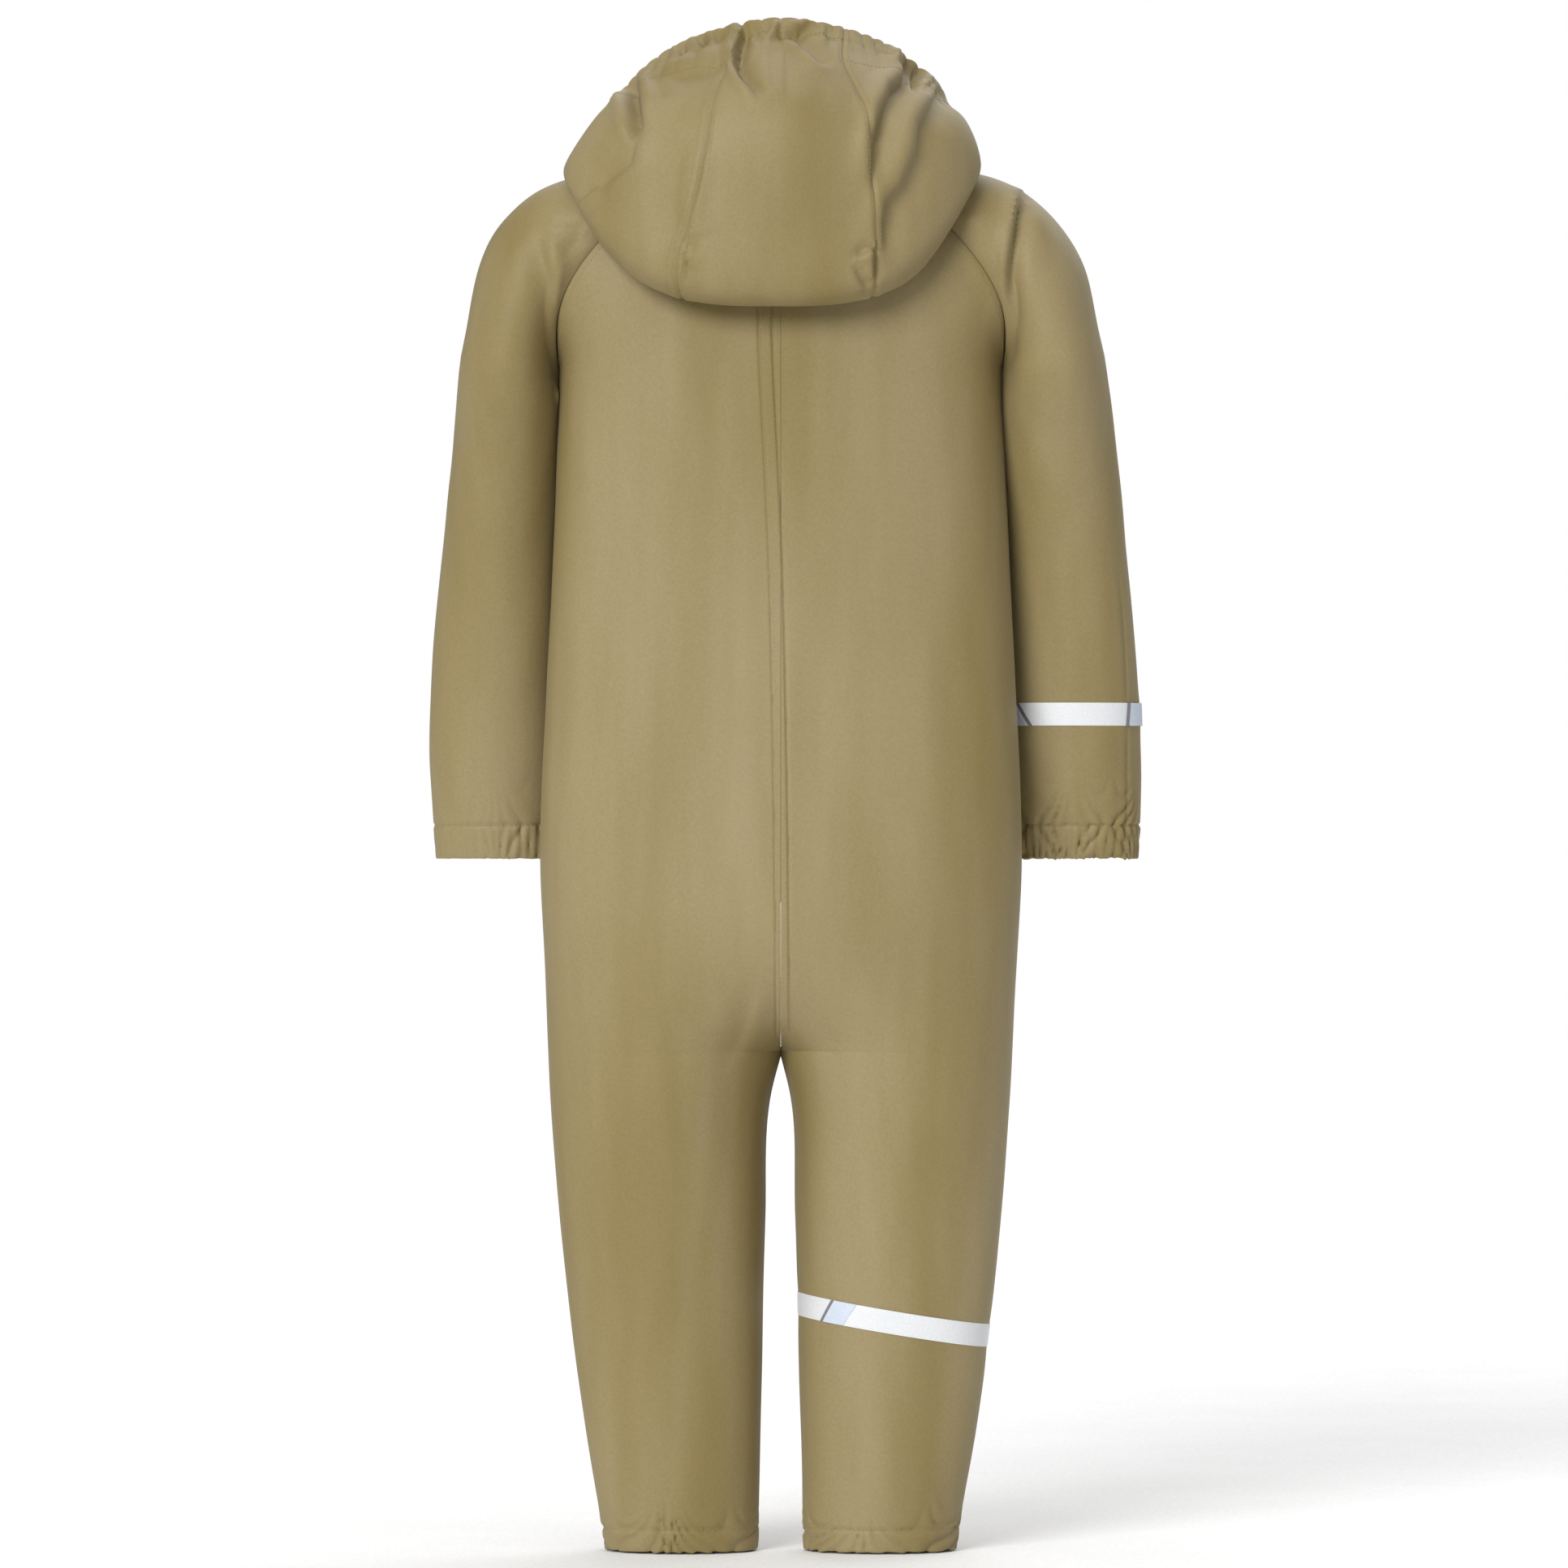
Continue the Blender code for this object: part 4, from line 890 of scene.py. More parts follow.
# ---- the hood -------------------------------------------------------------------------------
HOOD_ROWS = 190
HOOD_CREASES = [
    # gathers that fall from the rim at the centre, with short ones between them
    ([(26.2, 998), (23.2, 986), (26.8, 975), (28.2, 963), (23.8, 952), (16.5, 944), (10, 934)],
     3.4, 5.6, 3.4),
    ([(16.8, 998), (16, 986), (14, 976)], 2.6, 2, 1.2),
    ([(10, 998), (9.6, 988), (10.4, 980)], 2.2, 1.6, 1),
    ([(-3.2, 999), (-1.8, 990), (3, 984)], 2.4, 1.6, 1),
    ([(-19.2, 1000), (-19, 991), (-12, 986), (1, 984), (13, 976)], 3, 4, 2),
    ([(-8, 982), (-18, 972), (-26, 964), (-36, 962)], 3.4, 1.8, 1.2),
    ([(-32, 998), (-30, 986), (-33, 974)], 3, 1.6, 1),
    ([(6, 972), (5, 955), (4, 938)], 4, 1, 0.6),
    ([(-4, 972), (-4, 955), (-4, 935)], 4, 1, 0.6),
    # puckers under the rim on the left, and the ridge below them
    ([(70, 982), (66, 976), (64, 970)], 2.2, 3.2, 1.8),
    ([(56, 986), (52, 979), (49, 975)], 2.2, 3.4, 1.8),
    ([(45, 989), (42, 983), (40, 978)], 2.2, 3, 1.8),
    ([(37, 966), (53, 960), (79, 956)], 4.6, 3, 2),
    # the fold that falls from the left of the rim and fades towards the corner
    ([(118, 884), (99, 900), (95.5, 918), (97.5, 940), (100, 957), (102, 966)], 6.2, 3.4, 2.2),
    ([(103, 966), (100.5, 952), (98, 938), (96.2, 922), (97.5, 908)], 4.6, 6, 3.4),
    ([(84, 958), (80, 946), (78, 936)], 4, 1.4, 0.8),
    # the slack beside the left seam
    ([(62, 846), (69, 872), (66, 896), (58, 918)], 8, 1.2, 1.8),
    # the deep fold at the right of the rim, which runs down beside the right seam
    ([(-85, 982), (-84, 966), (-82.6, 956), (-73.5, 947), (-67.2, 932), (-62, 912), (-60.8, 890),
      (-61.2, 872)], 5.6, 6.2, 3),
    ([(-78.6, 982), (-78.8, 972), (-75.5, 962)], 2.6, 3, 1.8),
    ([(-91, 972), (-89.5, 958), (-88.2, 945)], 2.6, 3, 1.4),
    ([(-103, 958), (-96, 952), (-92, 945)], 3, 1.8, 1),
    # the long fold that swings from the right of the rim down to the lower edge
    ([(-108.5, 956), (-100, 937), (-91.5, 922), (-89.5, 905), (-81, 882), (-71.5, 871), (-68.8, 858),
      (-69, 838), (-67, 822)], 7, 4.4, 2.6),
    # pinches above the lower edge
    ([(-50, 838), (-56, 842), (-60, 843)], 2.6, 2.2, 1),
    ([(-60, 842), (-60.6, 832), (-61.2, 820)], 2.6, 2.6, 1),
    ([(-48, 828), (-52, 822), (-56, 817)], 2.6, 1.6, 0.8),
    ([(59, 846), (60, 834), (59, 820)], 3.2, 1.6, 1),
]


def hood_core(points):
    return points * (0.3, 0, 0) + (0, 0.055, 0.905)


def hood_relief(cloth, angle, v):
    points = cloth.points
    to_neck = run_along(points)
    to_rim = to_neck[-1:] - to_neck
    turn = np.radians(angle) * 1.2
    deep = waves(points, 91, 0.03, (1, 1, 0)) * 0.5 + 0.5
    fade = bell(np.maximum(to_rim - LEG_HEM, 0), 0.006 + 0.020 * deep)
    depth = 0.0032 - 0.0014 * step(40, 75, np.abs(angle))
    relief = (pleats(turn, 44, 17, 0.4) - 0.85) * depth * fade * (0.3 + 0.7 * deep)
    relief += (pleats(turn, 60, 19) - 0.7) * 0.0012 * bell(to_neck, 0.016)
    relief -= 0.0008 * bell(to_rim - LEG_HEM, 0.0010)
    relief += waves(points, 12, 0.07, (1, 1, 0.7)) * 0.0016 * step(0.1, 0.35, v)
    behind = step(-0.01, 0.03, points[..., 1]) * step(0.36, 0.46, v)
    return relief + 1.25 * crease_relief(points, HOOD_CREASES) * behind * step(-0.004, 0.012, to_rim)


def hood_panel(name, low, high, columns, seams, width, *nodes):
    """A panel between two angles for each row; seams are its sewn edges, 0 the low and 1 the high."""
    v = np.linspace(0, 1, HOOD_ROWS + 1)[:, None] * np.ones(columns + 1)
    angle = low[:, None] + (high - low)[:, None] * np.linspace(0, 1, columns + 1)
    plain = Cloth(hood_points(angle, v), hood_core)
    relief = hood_relief(plain, angle, v)
    for seam in seams:
        relief += seam_relief(plain.from_ends()[seam], 0.0011)
    shaped = plain.raised(relief)
    from_rim = run_along(plain.points[::-1, columns // 2])[1:]
    hem_rows = int(np.searchsorted(from_rim, LEG_HEM))
    folded = hem_fold(shaped, hem_rows + 3, last=True)
    lines = [shaped.across(HOOD_ROWS - hem_rows, 260)]
    rows = np.arange(2, HOOD_ROWS - 1, 0.7)
    for seam in seams:
        lines.append(edge_line(shaped, rows, HOOD_STITCH, seam))
        if name == "hood_side_left":
            lines.append(edge_line(shaped, rows, LEFT_HOOD_STITCH, seam))
    hung_panel(name, plain, folded, nodes, on_hood, name + "_stitching", lines)
    return shaped


def hood():
    v = np.linspace(0, 1, HOOD_ROWS + 1)
    left = smooth(HOOD_SEAMS[:, (0, 1)], v)
    right = -smooth(HOOD_SEAMS[:, (0, 2)], v)
    end = np.full_like(v, HOOD_END)
    middle = hood_panel("hood_centre", right, left, 64, (0, 1), 0.105, "hood_centre_panel",
                        "hood_brim_casing")
    left_cloth = hood_panel("hood_side_left", left, end, 140, (0,), 0.230, "hood_left_panel")
    right_cloth = hood_panel("hood_side_right", -end, right, 140, (1,), 0.230, "hood_right_panel")
    return right_cloth, middle, left_cloth


# ---- collar, neck band and snaps ------------------------------------------------------------
BAND_OUT = 0.0030           # the neck band's outer face, out from the neckline
LEAN = 0.02                 # outward lean of the collar and the band
CAP_OUT, STUD_OUT = 0.0001, 0.0003      # feet of the snaps, out from the band's and collar's faces
# profiles of (radius, height)
CAP = mm([(5, 0), (5.1, 0.3), (5.1, 0.9), (4.8, 1.4), (4.2, 1.7), (3.6, 1.6), (3.2, 1.2), (2.6, 1.2),
          (2, 1.5), (1, 1.8), (0.2, 1.85)])
STUD = mm([(4.9, 0), (4.9, 0.4), (4.5, 0.7), (3.4, 0.7), (2.8, 0.4), (2, 0.5), (1.9, 1), (1.6, 1.2),
           (0.2, 1.2)])


def neck_core(points):
    return points * (0, 0, 1)


def neck_ring(limit=180.0):
    """The whole neckline, from the right front to the left, with its outward plan normals."""
    half = NECK[NECK_ANGLES <= limit]
    ring = np.concatenate([half[:0:-1] * (-1, 1, 1), half])
    ahead = np.gradient(ring[:, :2], axis=0)
    normals = np.stack([-ahead[:, 1], ahead[:, 0], np.zeros(len(ring))], axis=1)
    normals /= np.linalg.norm(normals, axis=1)[:, None]
    if np.sum(normals[:, :2] * ring[:, :2]) < 0:
        normals = -normals
    return ring, normals


def upright(name, ring, normals, heights, node, body, lining, seed, **soft):
    """A band standing on the neckline; one lined with its own fabric is folded over its top edge."""
    rows = [ring + normals * (LEAN * h) + (0, 0, h) for h in heights]
    plain = Cloth(np.array(rows), neck_core)
    top = plain.points[..., 2] - plain.points[:1, :, 2] + heights[0]
    edges = (heights[-1] + COLLAR_STITCHES[0], heights[0] + COLLAR_STITCHES[1])
    relief = waves(plain.points, seed, 0.030, (1, 1, 0.3)) * 0.0003
    relief -= 0.0004 * sum(bell(top - edge, 0.0008) for edge in edges)
    shaped = plain.raised(relief)
    made, area = shaped, round(plain.area(), 4)
    if lining is FABRIC:
        made = hem_fold(shaped, len(heights) - 2, last=True)
        area = round(2 * plain.area(), 3)
    obj = settle(sheet_object(name, made, [FABRIC, lining]), "coated_fabric", body, node)
    lines = [shaped.across(row_at(edge, heights), 400, inset=0.5) for edge in edges]
    stitch_mesh(name + "_stitching", lines, body)


def turned(name, profile, at, normal, body, node):
    """A round piece of a snap: its profile turned about a normal at a point."""
    side = np.cross(normal, (0, 0, 1))
    side /= np.linalg.norm(side)
    up = np.cross(side, normal)
    sections = [[at + normal * height + (side * math.cos(a) + up * math.sin(a)) * radius
                 for a in circle(32)] for radius, height in profile]
    settle(tube(name, sections, SNAP, 35), "snap", body, node)


def collar_and_snaps():
    ring, normals = neck_ring()
    heights = np.linspace(0.0004, COLLAR_HEIGHT - HEM_RADIUS, 16)
    upright("collar_cloth", ring, normals, heights, "collar", "torso", FABRIC, 71,
            flat=(0.400, 0.044), rests_on=["left_back"])
    ring, normals = neck_ring(HOOD_END + 4)
    heights = np.linspace(BAND_FROM, BAND_TO, 13)
    upright("hood_neck_band_cloth", ring + normals * BAND_OUT, normals, heights, "hood_neck_band",
            "hood_base", LINING, 72, flat=(0.360, 0.018), rests_on=["collar_cloth"])
    angles = np.degrees(np.arctan2(ring[:, 0], ring[:, 1]))
    places = [sign * angle for sign in (1, -1) for angle in SNAP_ANGLES]
    for number, angle in enumerate(places, 1):
        i = int(np.argmin(abs(angles - angle)))
        at, out = ring[i] + (0, 0, (BAND_FROM + BAND_TO) / 2), normals[i]
        turned(f"snap_cap_{number}", CAP, at + out * (BAND_OUT + CAP_OUT), out, "hood_base",
               f"hood_snap_{number}")
        turned(f"snap_stud_{number}", STUD, at + out * STUD_OUT, out, "torso",
               f"collar_stud_{number}")


# ---- webbing loop and label -----------------------------------------------------------------
LOOP_HALF, LOOP_RISE, LOOP_Z, LOOP_Y = 0.020, 0.032, 0.899, 0.0430
LOOP_WIDTH, LOOP_THICK = 0.0055, 0.0012


def squarish(value, power):
    return math.copysign(abs(value) ** power, value)


def hanging_loop():
    sections = []
    for a in np.linspace(0, math.pi, 49):
        out = np.array([math.cos(a), 0, math.sin(a)])
        middle = out * (LOOP_HALF - LOOP_THICK / 2, 0, LOOP_RISE - LOOP_THICK / 2)
        section = []
        for b in circle(16):
            across = squarish(math.sin(b), 0.35) * LOOP_WIDTH / 2
            thick = squarish(math.cos(b), 0.6) * LOOP_THICK / 2
            section.append(middle + out * thick + (0, LOOP_Y + across, LOOP_Z))
        sections.append(section)
    loop = tube("hanging_loop_webbing", sections, WEBBING, 50)
    settle(loop, "lining_trim", "torso", "hanging_loop")
    tacks = []
    for sign in (1, -1):
        for height in (0.0020, 0.0045):
            line = np.array([(sign * (LOOP_HALF + 0.0002), LOOP_Y + y, LOOP_Z + height)
                             for y in np.linspace(-0.0026, 0.0026, 8)])
            tacks.append((line, np.tile((float(sign), 0, 0), (8, 1))))
    stitch_mesh("loop_bar_tacks", tacks, "torso")


def neck_label():
    low, high = (np.array(corner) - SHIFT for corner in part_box("neck_label"))
    x, z = np.meshgrid(np.linspace(low[0], high[0], 33), np.linspace(low[2], high[2], 17))
    y = high[1] - 0.0002 + 0.00025 * np.sin(x * 420) * (z - low[2]) / 0.014
    cloth = Cloth(np.stack([x, y, z], axis=-1), lambda at: at + (0, 0.01, 0))
    label = sheet_object("neck_label_cloth", cloth, [LABEL, LABEL], thickness=0.0004)
    settle(label, "label", "torso", "neck_label")
    lines = [(cloth.points[:, column] + cloth.normals[:, column] * 0.0001, cloth.normals[:, column])
             for column in (1, 31)]
    stitch_mesh("label_stitching", lines, "torso")


# ---- the zip --------------------------------------------------------------------------------
ZIP_TILT = math.atan(FRONT_SLOPE)
ZIP_UP = np.array([0, math.sin(ZIP_TILT), math.cos(ZIP_TILT)])
ZIP_IN = np.array([0, math.cos(ZIP_TILT), -math.sin(ZIP_TILT)])
ZIP_FOOT = np.array([0, -FRONT_DEPTH_AT_ZIP, SEAT_Z])
TOOTH_PITCH = 0.0028
SLIDER_AT = 0.460           # the slider's middle along the zip when it is closed
SLIDER_FACE = -0.0004       # depth of the slider's outer face
SLIDER_BACK = 0.00425       # depth of the middle of its inner plate
PLATE_HALF, PLATE_BEVEL = 0.00055, 0.0002       # half thickness and edge radius of its plates
STOP_HALF, STOP_BEVEL = 0.0012, 0.0003          # the same for the stops
PULL_DEPTH = -0.002025
GUARD_DEPTH = 0.0063        # depth of the chin guard and the wind flap
# outlines of (x, length) in millimetres
TOOTH = mm([(3.5, -0.55), (1.5, -0.55), (1, -0.4), (0.4, -0.75), (-0.45, -0.66), (-0.85, 0),
            (-0.45, 0.66), (0.4, 0.75), (1, 0.4), (1.5, 0.55), (3.5, 0.55)])
TOOTH_LAYERS = [(-0.0010, 0.86), (-0.0008, 1.0), (0.0008, 1.0), (0.0010, 0.86)]     # depth, scale
SLIDER = [(-4.7, 3), (-3.4, 5.5), (-1, 5), (0, 3.6), (1, 5), (3.4, 5.5), (4.7, 3), (3.6, -5.2),
          (-3.6, -5.2)]
POST = [(-1.2, 1), (0, 4.6), (1.2, 1), (0, -0.8)]
RAIL = [(4, 2.4), (4.7, 3), (3.6, -5), (3, -4.8)]
PULL = [(-3.2, 0.6), (3.2, 0.6), (3.3, -19), (2.2, -24.5), (-2.2, -24.5), (-3.3, -19)]


def zip_at(x, depth, length):
    """Points in suit coordinates from x, depth behind the front's face, and length up the zip."""
    x, depth, length = (part[..., None] for part in np.broadcast_arrays(x, depth, length))
    return ZIP_FOOT + x * np.array([1.0, 0, 0]) + depth * ZIP_IN + length * ZIP_UP


def rounded(corners, radius, steps=5):
    """An outline in millimetres with each of its corners replaced by a short arc-like curve."""
    corners, radius = mm(corners), radius / 1000
    made = []
    for k, corner in enumerate(corners):
        before, after = corners[k - 1] - corner, corners[(k + 1) % len(corners)] - corner
        r = min(radius, np.linalg.norm(before) / 2.1, np.linalg.norm(after) / 2.1)
        a = corner + before / np.linalg.norm(before) * r
        b = corner + after / np.linalg.norm(after) * r
        for t in np.linspace(0, 1, steps):
            made.append((1 - t) ** 2 * a + 2 * t * (1 - t) * corner + t * t * b)
    return made


def rounded_box(x1, y1, x2, y2, radius):
    return rounded([(x1, y1), (x2, y1), (x2, y2), (x1, y2)], radius)


def plate(name, body, loops, half, bevel, depth, length, *nodes):
    """A metal plate lying in the zip's plane: outlines of (x, length) with rounded edges."""
    curve = bpy.data.curves.new(name, "CURVE")
    curve.dimensions = "2D"
    curve.fill_mode = "BOTH"
    curve.extrude = half - bevel
    curve.bevel_depth = bevel
    curve.bevel_resolution = 2
    curve.offset = -bevel
    for loop in loops:
        spline = curve.splines.new("POLY")
        spline.points.add(len(loop) - 1)
        for place, (x, y) in zip(spline.points, loop):
            place.co = (x, y, 0, 1)
        spline.use_cyclic_u = True
    flat = linked(name, curve)
    bpy.context.view_layer.update()
    graph = bpy.context.evaluated_depsgraph_get()
    found = bpy.data.meshes.new_from_object(flat.evaluated_get(graph))
    local = np.array([v.co for v in found.vertices], float)
    faces = [tuple(p.vertices) for p in found.polygons]
    bpy.data.objects.remove(flat)
    points = zip_at(local[:, 0], depth - local[:, 2], length + local[:, 1])
    settle(new_object(name, points, faces, [METAL], sharp=40), "zip_metal", body, *nodes)


def teeth(side):
    """The moulded teeth of one side, each reaching past the middle between two of the other's."""
    outline = TOOTH * (SIGN[side], 1)
    middle = outline.mean(axis=0)
    start = 0.0062 + (TOOTH_PITCH / 2 if side == "left" else 0)
    points, faces = [], []
    for length in np.arange(start, ZIP_LENGTH - 0.0045, TOOTH_PITCH):
        faces += loft_faces(len(points), len(TOOTH_LAYERS), len(outline))
        for depth, scale in TOOTH_LAYERS:
            flat = middle + (outline - middle) * scale
            points += list(zip_at(flat[:, 0], ZIP_DEPTH + depth, length + flat[:, 1]))
    if side == "right":
        faces = [f[::-1] for f in faces]
    obj = new_object(f"teeth_{side}", points, faces, [TEETH], sharp=40)
    settle(obj, "zip_teeth", "torso", f"zip_teeth_{side}")


def zip_sheet(name, x, depth, length, grid, materials, node, slot, wave, thickness):
    """A flat strip of cloth in the zip's own plane, very slightly waved."""
    across, up = np.meshgrid(np.linspace(*x, grid[0]), np.linspace(*length, grid[1]))
    plain = Cloth(zip_at(across, depth, up), lambda at: at + (0, 1, 0))
    relief = waves(plain.points, len(name), 0.03, (1, 1, 1)) * wave - wave
    obj = sheet_object(name, plain.raised(relief), materials, thickness=thickness)
    settle(obj, slot, "torso", node)


def zip_parts():
    for side, sign in SIGN.items():
        zip_sheet(f"tape_{side}", sorted((sign * TAPE_IN, sign * TAPE_OUT)), ZIP_DEPTH - 0.0003,
                  (0.006, ZIP_LENGTH), (12, 120), [ZIP_TAPE, ZIP_TAPE], f"zip_tape_{side}",
                  "zip_tape", 0.00003, 0.0006)
        teeth(side)
        stop = rounded_box(sign * 0.6, -1.3, sign * 3.7, 1.3, 0.6)
        plate(f"top_stop_{side}", "torso", [stop], STOP_HALF, STOP_BEVEL, ZIP_DEPTH,
              ZIP_LENGTH - 0.0023, f"zip_top_stop_{side}")
    stop = rounded_box(-3.6, -1.8, 3.6, 1.8, 0.8)
    plate("bottom_stop", "torso", [stop], STOP_HALF, STOP_BEVEL, ZIP_DEPTH, 0.0028,
          "zip_bottom_stop")
    zip_sheet("chin_guard_cloth", (-0.011, 0.011), GUARD_DEPTH, (0.453, 0.476), (24, 24),
              [WEBBING, WEBBING], "chin_guard", "lining_trim", 0.0001, 0.0010)
    zip_sheet("wind_flap_cloth", (-0.018, 0.028), GUARD_DEPTH, (0.002, 0.450), (32, 180),
              [FABRIC, LINING], "wind_flap", "coated_fabric", 0.00015, 0.0009)


def slider_and_pull():
    """The slider's two plates round its post, the bridge over it, and the pull on the bridge."""
    def slider_plate(name, outline, half, bevel, depth, *nodes):
        plate(name, "zip_slider", [outline], half, bevel, depth, SLIDER_AT, *nodes)

    shape = rounded(SLIDER, 1.2)
    slider_plate("slider", shape, PLATE_HALF, PLATE_BEVEL, SLIDER_FACE + PLATE_HALF, "zip_slider")
    slider_plate("slider_back", shape, PLATE_HALF, PLATE_BEVEL, SLIDER_BACK)
    slider_plate("slider_post", rounded(POST, 0.4), 0.0020, PLATE_BEVEL, ZIP_DEPTH)
    for number, sign in ((3, 1), (1, -1)):
        for k, depth in enumerate((0.0009, 0.0035)):
            rail = rounded([(sign * x, y) for x, y in RAIL], 0.2)
            slider_plate(f"slider_rail_{number}_{k}", rail, 0.0003, 0.0001, depth)

    arch = []
    for a in np.linspace(0, math.pi, 17):
        length = SLIDER_AT + 0.0024 * math.cos(a)
        depth = SLIDER_FACE + 0.0001 - 0.0027 * math.sin(a) ** 0.7
        across, thick = 0.0011 * np.cos(circle(12)), 0.00045 * np.sin(circle(12))
        arch.append(zip_at(across, depth - thick * math.sin(a), length + thick * math.cos(a)))
    bridge = tube("slider_bridge", arch, METAL, 50)
    settle(bridge, "zip_metal", "zip_slider", "zip_slider_bridge")

    outlines = [rounded(PULL, 1.0), rounded_box(-2, -0.6, 2, -5, 0.6)]
    plate("zip_pull_tab", "zip_pull", outlines, 0.0005, PLATE_BEVEL, PULL_DEPTH, SLIDER_AT,
          "zip_pull")
    for k in range(5):
        low = -13 - 2 * k
        bar = rounded_box(-2.2, low, 2.2, low - 0.9, 0.3)
        plate(f"pull_grip_{k + 1}", "zip_pull", [bar], 0.00075, PLATE_BEVEL, PULL_DEPTH,
              SLIDER_AT)


# ---- reflective bands and elastics ----------------------------------------------------------
TAPE_LIFT = 0.0007          # the tape's outer face, out from the fabric's
LAP_LIFT = 0.0004           # a lap's, out from the tape's
TAPE_THICK, LAP_THICK, ELASTIC_THICK = 0.0005, 0.0003, 0.0005
TAPE_EDGE_DIP = 0.00012     # how far the tape's edges lie below its middle
TAPE_ROWS = 9
ELASTIC_DEPTH = 0.00105     # from the fabric's outer face to the elastic's
# laps: start, end and slant in degrees, and their material; the narrow dark ones are strips of painted
# shade beside a lap's edge
SLEEVE_LAPS = [(16, 44, -14, TAPE_LAP), (46.5, 50, -14, TAPE_LAP_EDGE_SHADE), (140, 144, 3, TAPE_LAP_EDGE_SHADE),
               (146, 176, 3, TAPE_LAP)]
LEG_LAPS = [(44.5, 46.5, 9, TAPE_LAP_EDGE_SHADE), (47.5, 62, 9, TAPE_LAP)]


def leg_row(z, turns, grow):
    """A loop round the left leg that follows the slope of its band."""
    height = np.full_like(turns, z)
    for _ in range(3):
        width, gap = smooth(HALF_WIDTH, height), smooth(HALF_GAP, height)
        middle, radius = (width + gap) / 2, (width - gap) / 2 + grow
        height = z + LEG_BAND_SLOPE * -radius * np.cos(turns)
    depth = smooth(LEG_DEPTH, height) + grow
    return np.stack([middle - radius * np.cos(turns), depth * np.sin(turns), height], axis=-1)


def sleeve_loop(z, turns, grow):
    """A loop round the flared right sleeve, given on the left side like the others."""
    row = flared(sleeve_row(z, turns) * (-1, 1, 1)) * (-1, 1, 1)
    outer, inner, _, middle_y = smooth(SLEEVE, z)
    middle = np.array([(outer + inner) / 2, middle_y, z])
    away = row - middle
    return middle + away * (1 + grow / np.linalg.norm(away, axis=-1, keepdims=True))


def band(name, loop, z, body, middle, laps):
    """A tape round a tube, lapped over itself, with each lap's slanted top layer as a patch, and narrow
    patches of painted shade beside the laps' edges.
    """
    def core(at):
        return at * (0, 0, 1) + middle

    rows = np.linspace(z - TAPE_BAND / 2, z + TAPE_BAND / 2, TAPE_ROWS)
    turns = np.linspace(0, 2 * math.pi, 181)
    points = np.array([loop(height, turns, TAPE_LIFT) for height in rows]) * (-1, 1, 1)
    plain = Cloth(points, core)
    sunk = np.abs(np.linspace(-1, 1, TAPE_ROWS)) ** 6 * -TAPE_EDGE_DIP
    shaped = plain.raised(np.tile(sunk[:, None], len(turns)))
    tape = sheet_object(name, shaped, [TAPE, LINING], TAPE_THICK)
    settle(tape, "reflective_tape", body, body + "_reflector")
    round(plain.girth(), 3)
    for k, (start, end, slant, patch_material) in enumerate(laps, 1):
        columns = []
        for i, height in enumerate(rows):
            lean = math.radians(slant) * (i / (TAPE_ROWS - 1) - 0.5)
            span = np.linspace(math.radians(start) + lean, math.radians(end) + lean, 25)
            columns.append(loop(height, span, TAPE_LIFT + LAP_LIFT))
        patch = Cloth(np.array(columns) * (-1, 1, 1), core)
        # patches of the dark tape material are painted shade beside a lap's edge, not a layer of tape
        lap = sheet_object(f"{name}_lap_{k}", patch, [patch_material, patch_material], LAP_THICK)
        settle(lap, "reflective_tape", body)
        width = patch.girth()


def elastic(node, cloths, low, high):
    """A knitted elastic inside a casing, from the rows low to high of cloths that lie end to end."""
    grid = [(cloth.points - cloth.normals * ELASTIC_DEPTH)[low:high, ::turn] for cloth, turn in cloths]
    grid = np.concatenate(grid, axis=1)
    kept = np.concatenate([[True], np.linalg.norm(np.diff(grid[0], axis=0), axis=1) > 1e-5])
    strip = Cloth(grid[:, kept], cloths[0][0].core)
    obj = sheet_object(node + "_strip", strip, [ELASTIC, ELASTIC], ELASTIC_THICK)
    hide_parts(node)
    width = float(run_along(strip.points)[-1].mean())
    round(strip.girth(), 3)
    return obj


def suit():
    backs = {}
    for side in SIGN:
        backs[side] = body_piece(side, True)
        low, high = np.searchsorted(BODY_HEIGHTS, (0.0020, LEG_HEM - 0.0008))
        cloths = [(backs[side], 1), (body_piece(side, False), -1)]
        strip = elastic(side + "_hem_elastic", cloths, low, high)
        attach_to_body(strip, side + "_leg")
        low, high = np.searchsorted(SLEEVE_HEIGHTS, (CUFF_Z + 0.0040, CUFF_Z + CUFF_HEM - 0.0020))
        strip = elastic(side + "_cuff_elastic", [(sleeve_piece(side), 1)], low, high)
        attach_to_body(strip, side + "_sleeve")
    centre_stitching(backs["left"], backs["right"])
    cloths = [(cloth, 1) for cloth in hood()]
    low, high = int(0.940 * HOOD_ROWS), int(0.999 * HOOD_ROWS)
    on_hood(elastic("hood_elastic", cloths, low, high))


suit()
collar_and_snaps()
hanging_loop()
neck_label()
zip_parts()
slider_and_pull()
band("sleeve_tape", sleeve_loop, SLEEVE_BAND_Z, "right_sleeve",
     (-0.1865, -0.050, 0), SLEEVE_LAPS)
band("leg_tape", leg_row, LEG_BAND_Z, "right_leg", (-0.074, 0, 0), LEG_LAPS)

# ---- floor, light and camera ----------------------------------------------------------------
FLOOR_HALF = 12.0
CAMERA_DISTANCE = 6.0
VIEW_WIDTH = 1.024
VIEW_MIDDLE = (-0.0021, 0.4993)
WORLD_LIGHT = 0.33


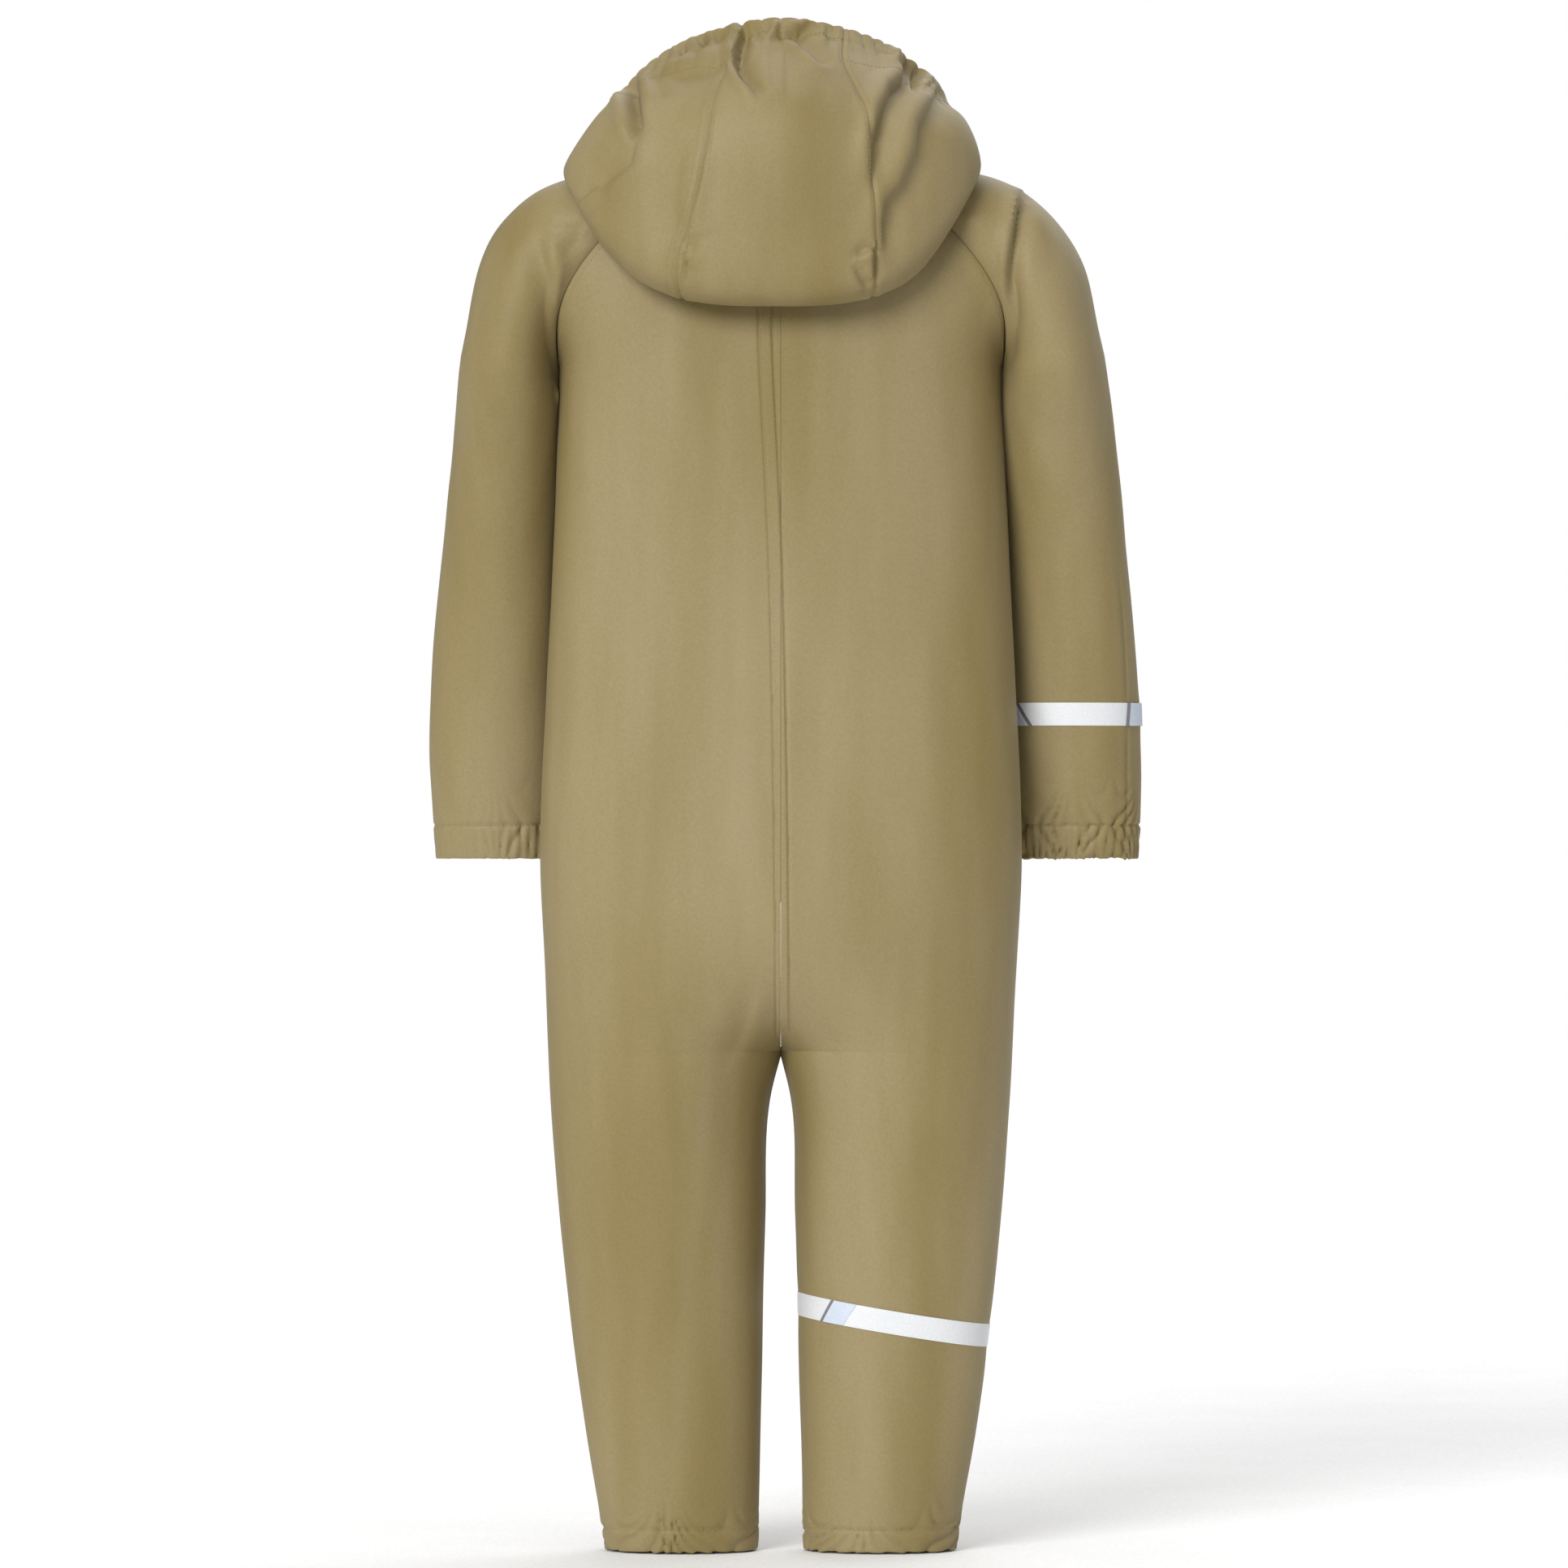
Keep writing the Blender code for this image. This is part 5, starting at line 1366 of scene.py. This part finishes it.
def stage():
    """A plain floor, a millimetre below the hems."""
    mesh = bpy.data.meshes.new("floor")
    z = SHIFT[2] - 0.001
    corners = [(x * FLOOR_HALF, y * FLOOR_HALF, z) for x, y in ((-1, -1), (1, -1), (1, 1), (-1, 1))]
    mesh.from_pydata(corners, [], [(0, 1, 2, 3)])
    floor = linked("floor", mesh)
    mesh.materials.append(material("floor", (0.86, 0.86, 0.86), (0.88, 0.88, 0.88), 0.9))


def studio_world():
    """White to the camera and softer as a light, so that folds keep their shading."""
    world = bpy.data.worlds.new("studio")
    world.use_nodes = True
    tree = world.node_tree
    choice = tree.nodes.new("ShaderNodeMixShader")
    ray = tree.nodes.new("ShaderNodeLightPath")
    tree.links.new(ray.outputs["Is Camera Ray"], choice.inputs["Fac"])
    backgrounds = (tree.nodes["Background"], tree.nodes.new("ShaderNodeBackground"))
    for i, (background, strength) in enumerate(zip(backgrounds, (WORLD_LIGHT, 1.0)), 1):
        background.inputs["Color"].default_value = (1, 1, 1, 1)
        background.inputs["Strength"].default_value = strength
        tree.links.new(background.outputs["Background"], choice.inputs[i])
    tree.links.new(choice.outputs["Shader"], tree.nodes["World Output"].inputs["Surface"])
    return world


def sun(name, azimuth, elevation, softness, strength):
    """Even light from one direction; azimuth 0 is behind the wearer, where the camera stands."""
    data = bpy.data.lights.new(name, "SUN")
    data.angle = math.radians(softness)
    data.energy = strength
    turn, rise = math.radians(azimuth), math.radians(elevation)
    towards = Vector((math.sin(turn) * math.cos(rise), math.cos(turn) * math.cos(rise), math.sin(rise)))
    linked(name, data).rotation_euler = towards.to_track_quat("Z", "Y").to_euler()


def lights_and_camera():
    bpy.context.scene.world = studio_world()
    bpy.context.scene.view_settings.view_transform = "Standard"
    sun("key", 25, 21, 28, 2.75)
    sun("top light", 0, 84, 50, 0.95)
    sun("front light", 200, 40, 60, 1.3)
    data = bpy.data.cameras.new("camera")
    data.lens = 36.0 * CAMERA_DISTANCE / VIEW_WIDTH
    camera = linked("camera", data)
    camera.location = (VIEW_MIDDLE[0], SHIFT[1] + CAMERA_DISTANCE, SHIFT[2] + VIEW_MIDDLE[1])
    camera.rotation_euler = (math.pi / 2, 0, math.pi)
    bpy.context.scene.camera = camera


stage()
lights_and_camera()
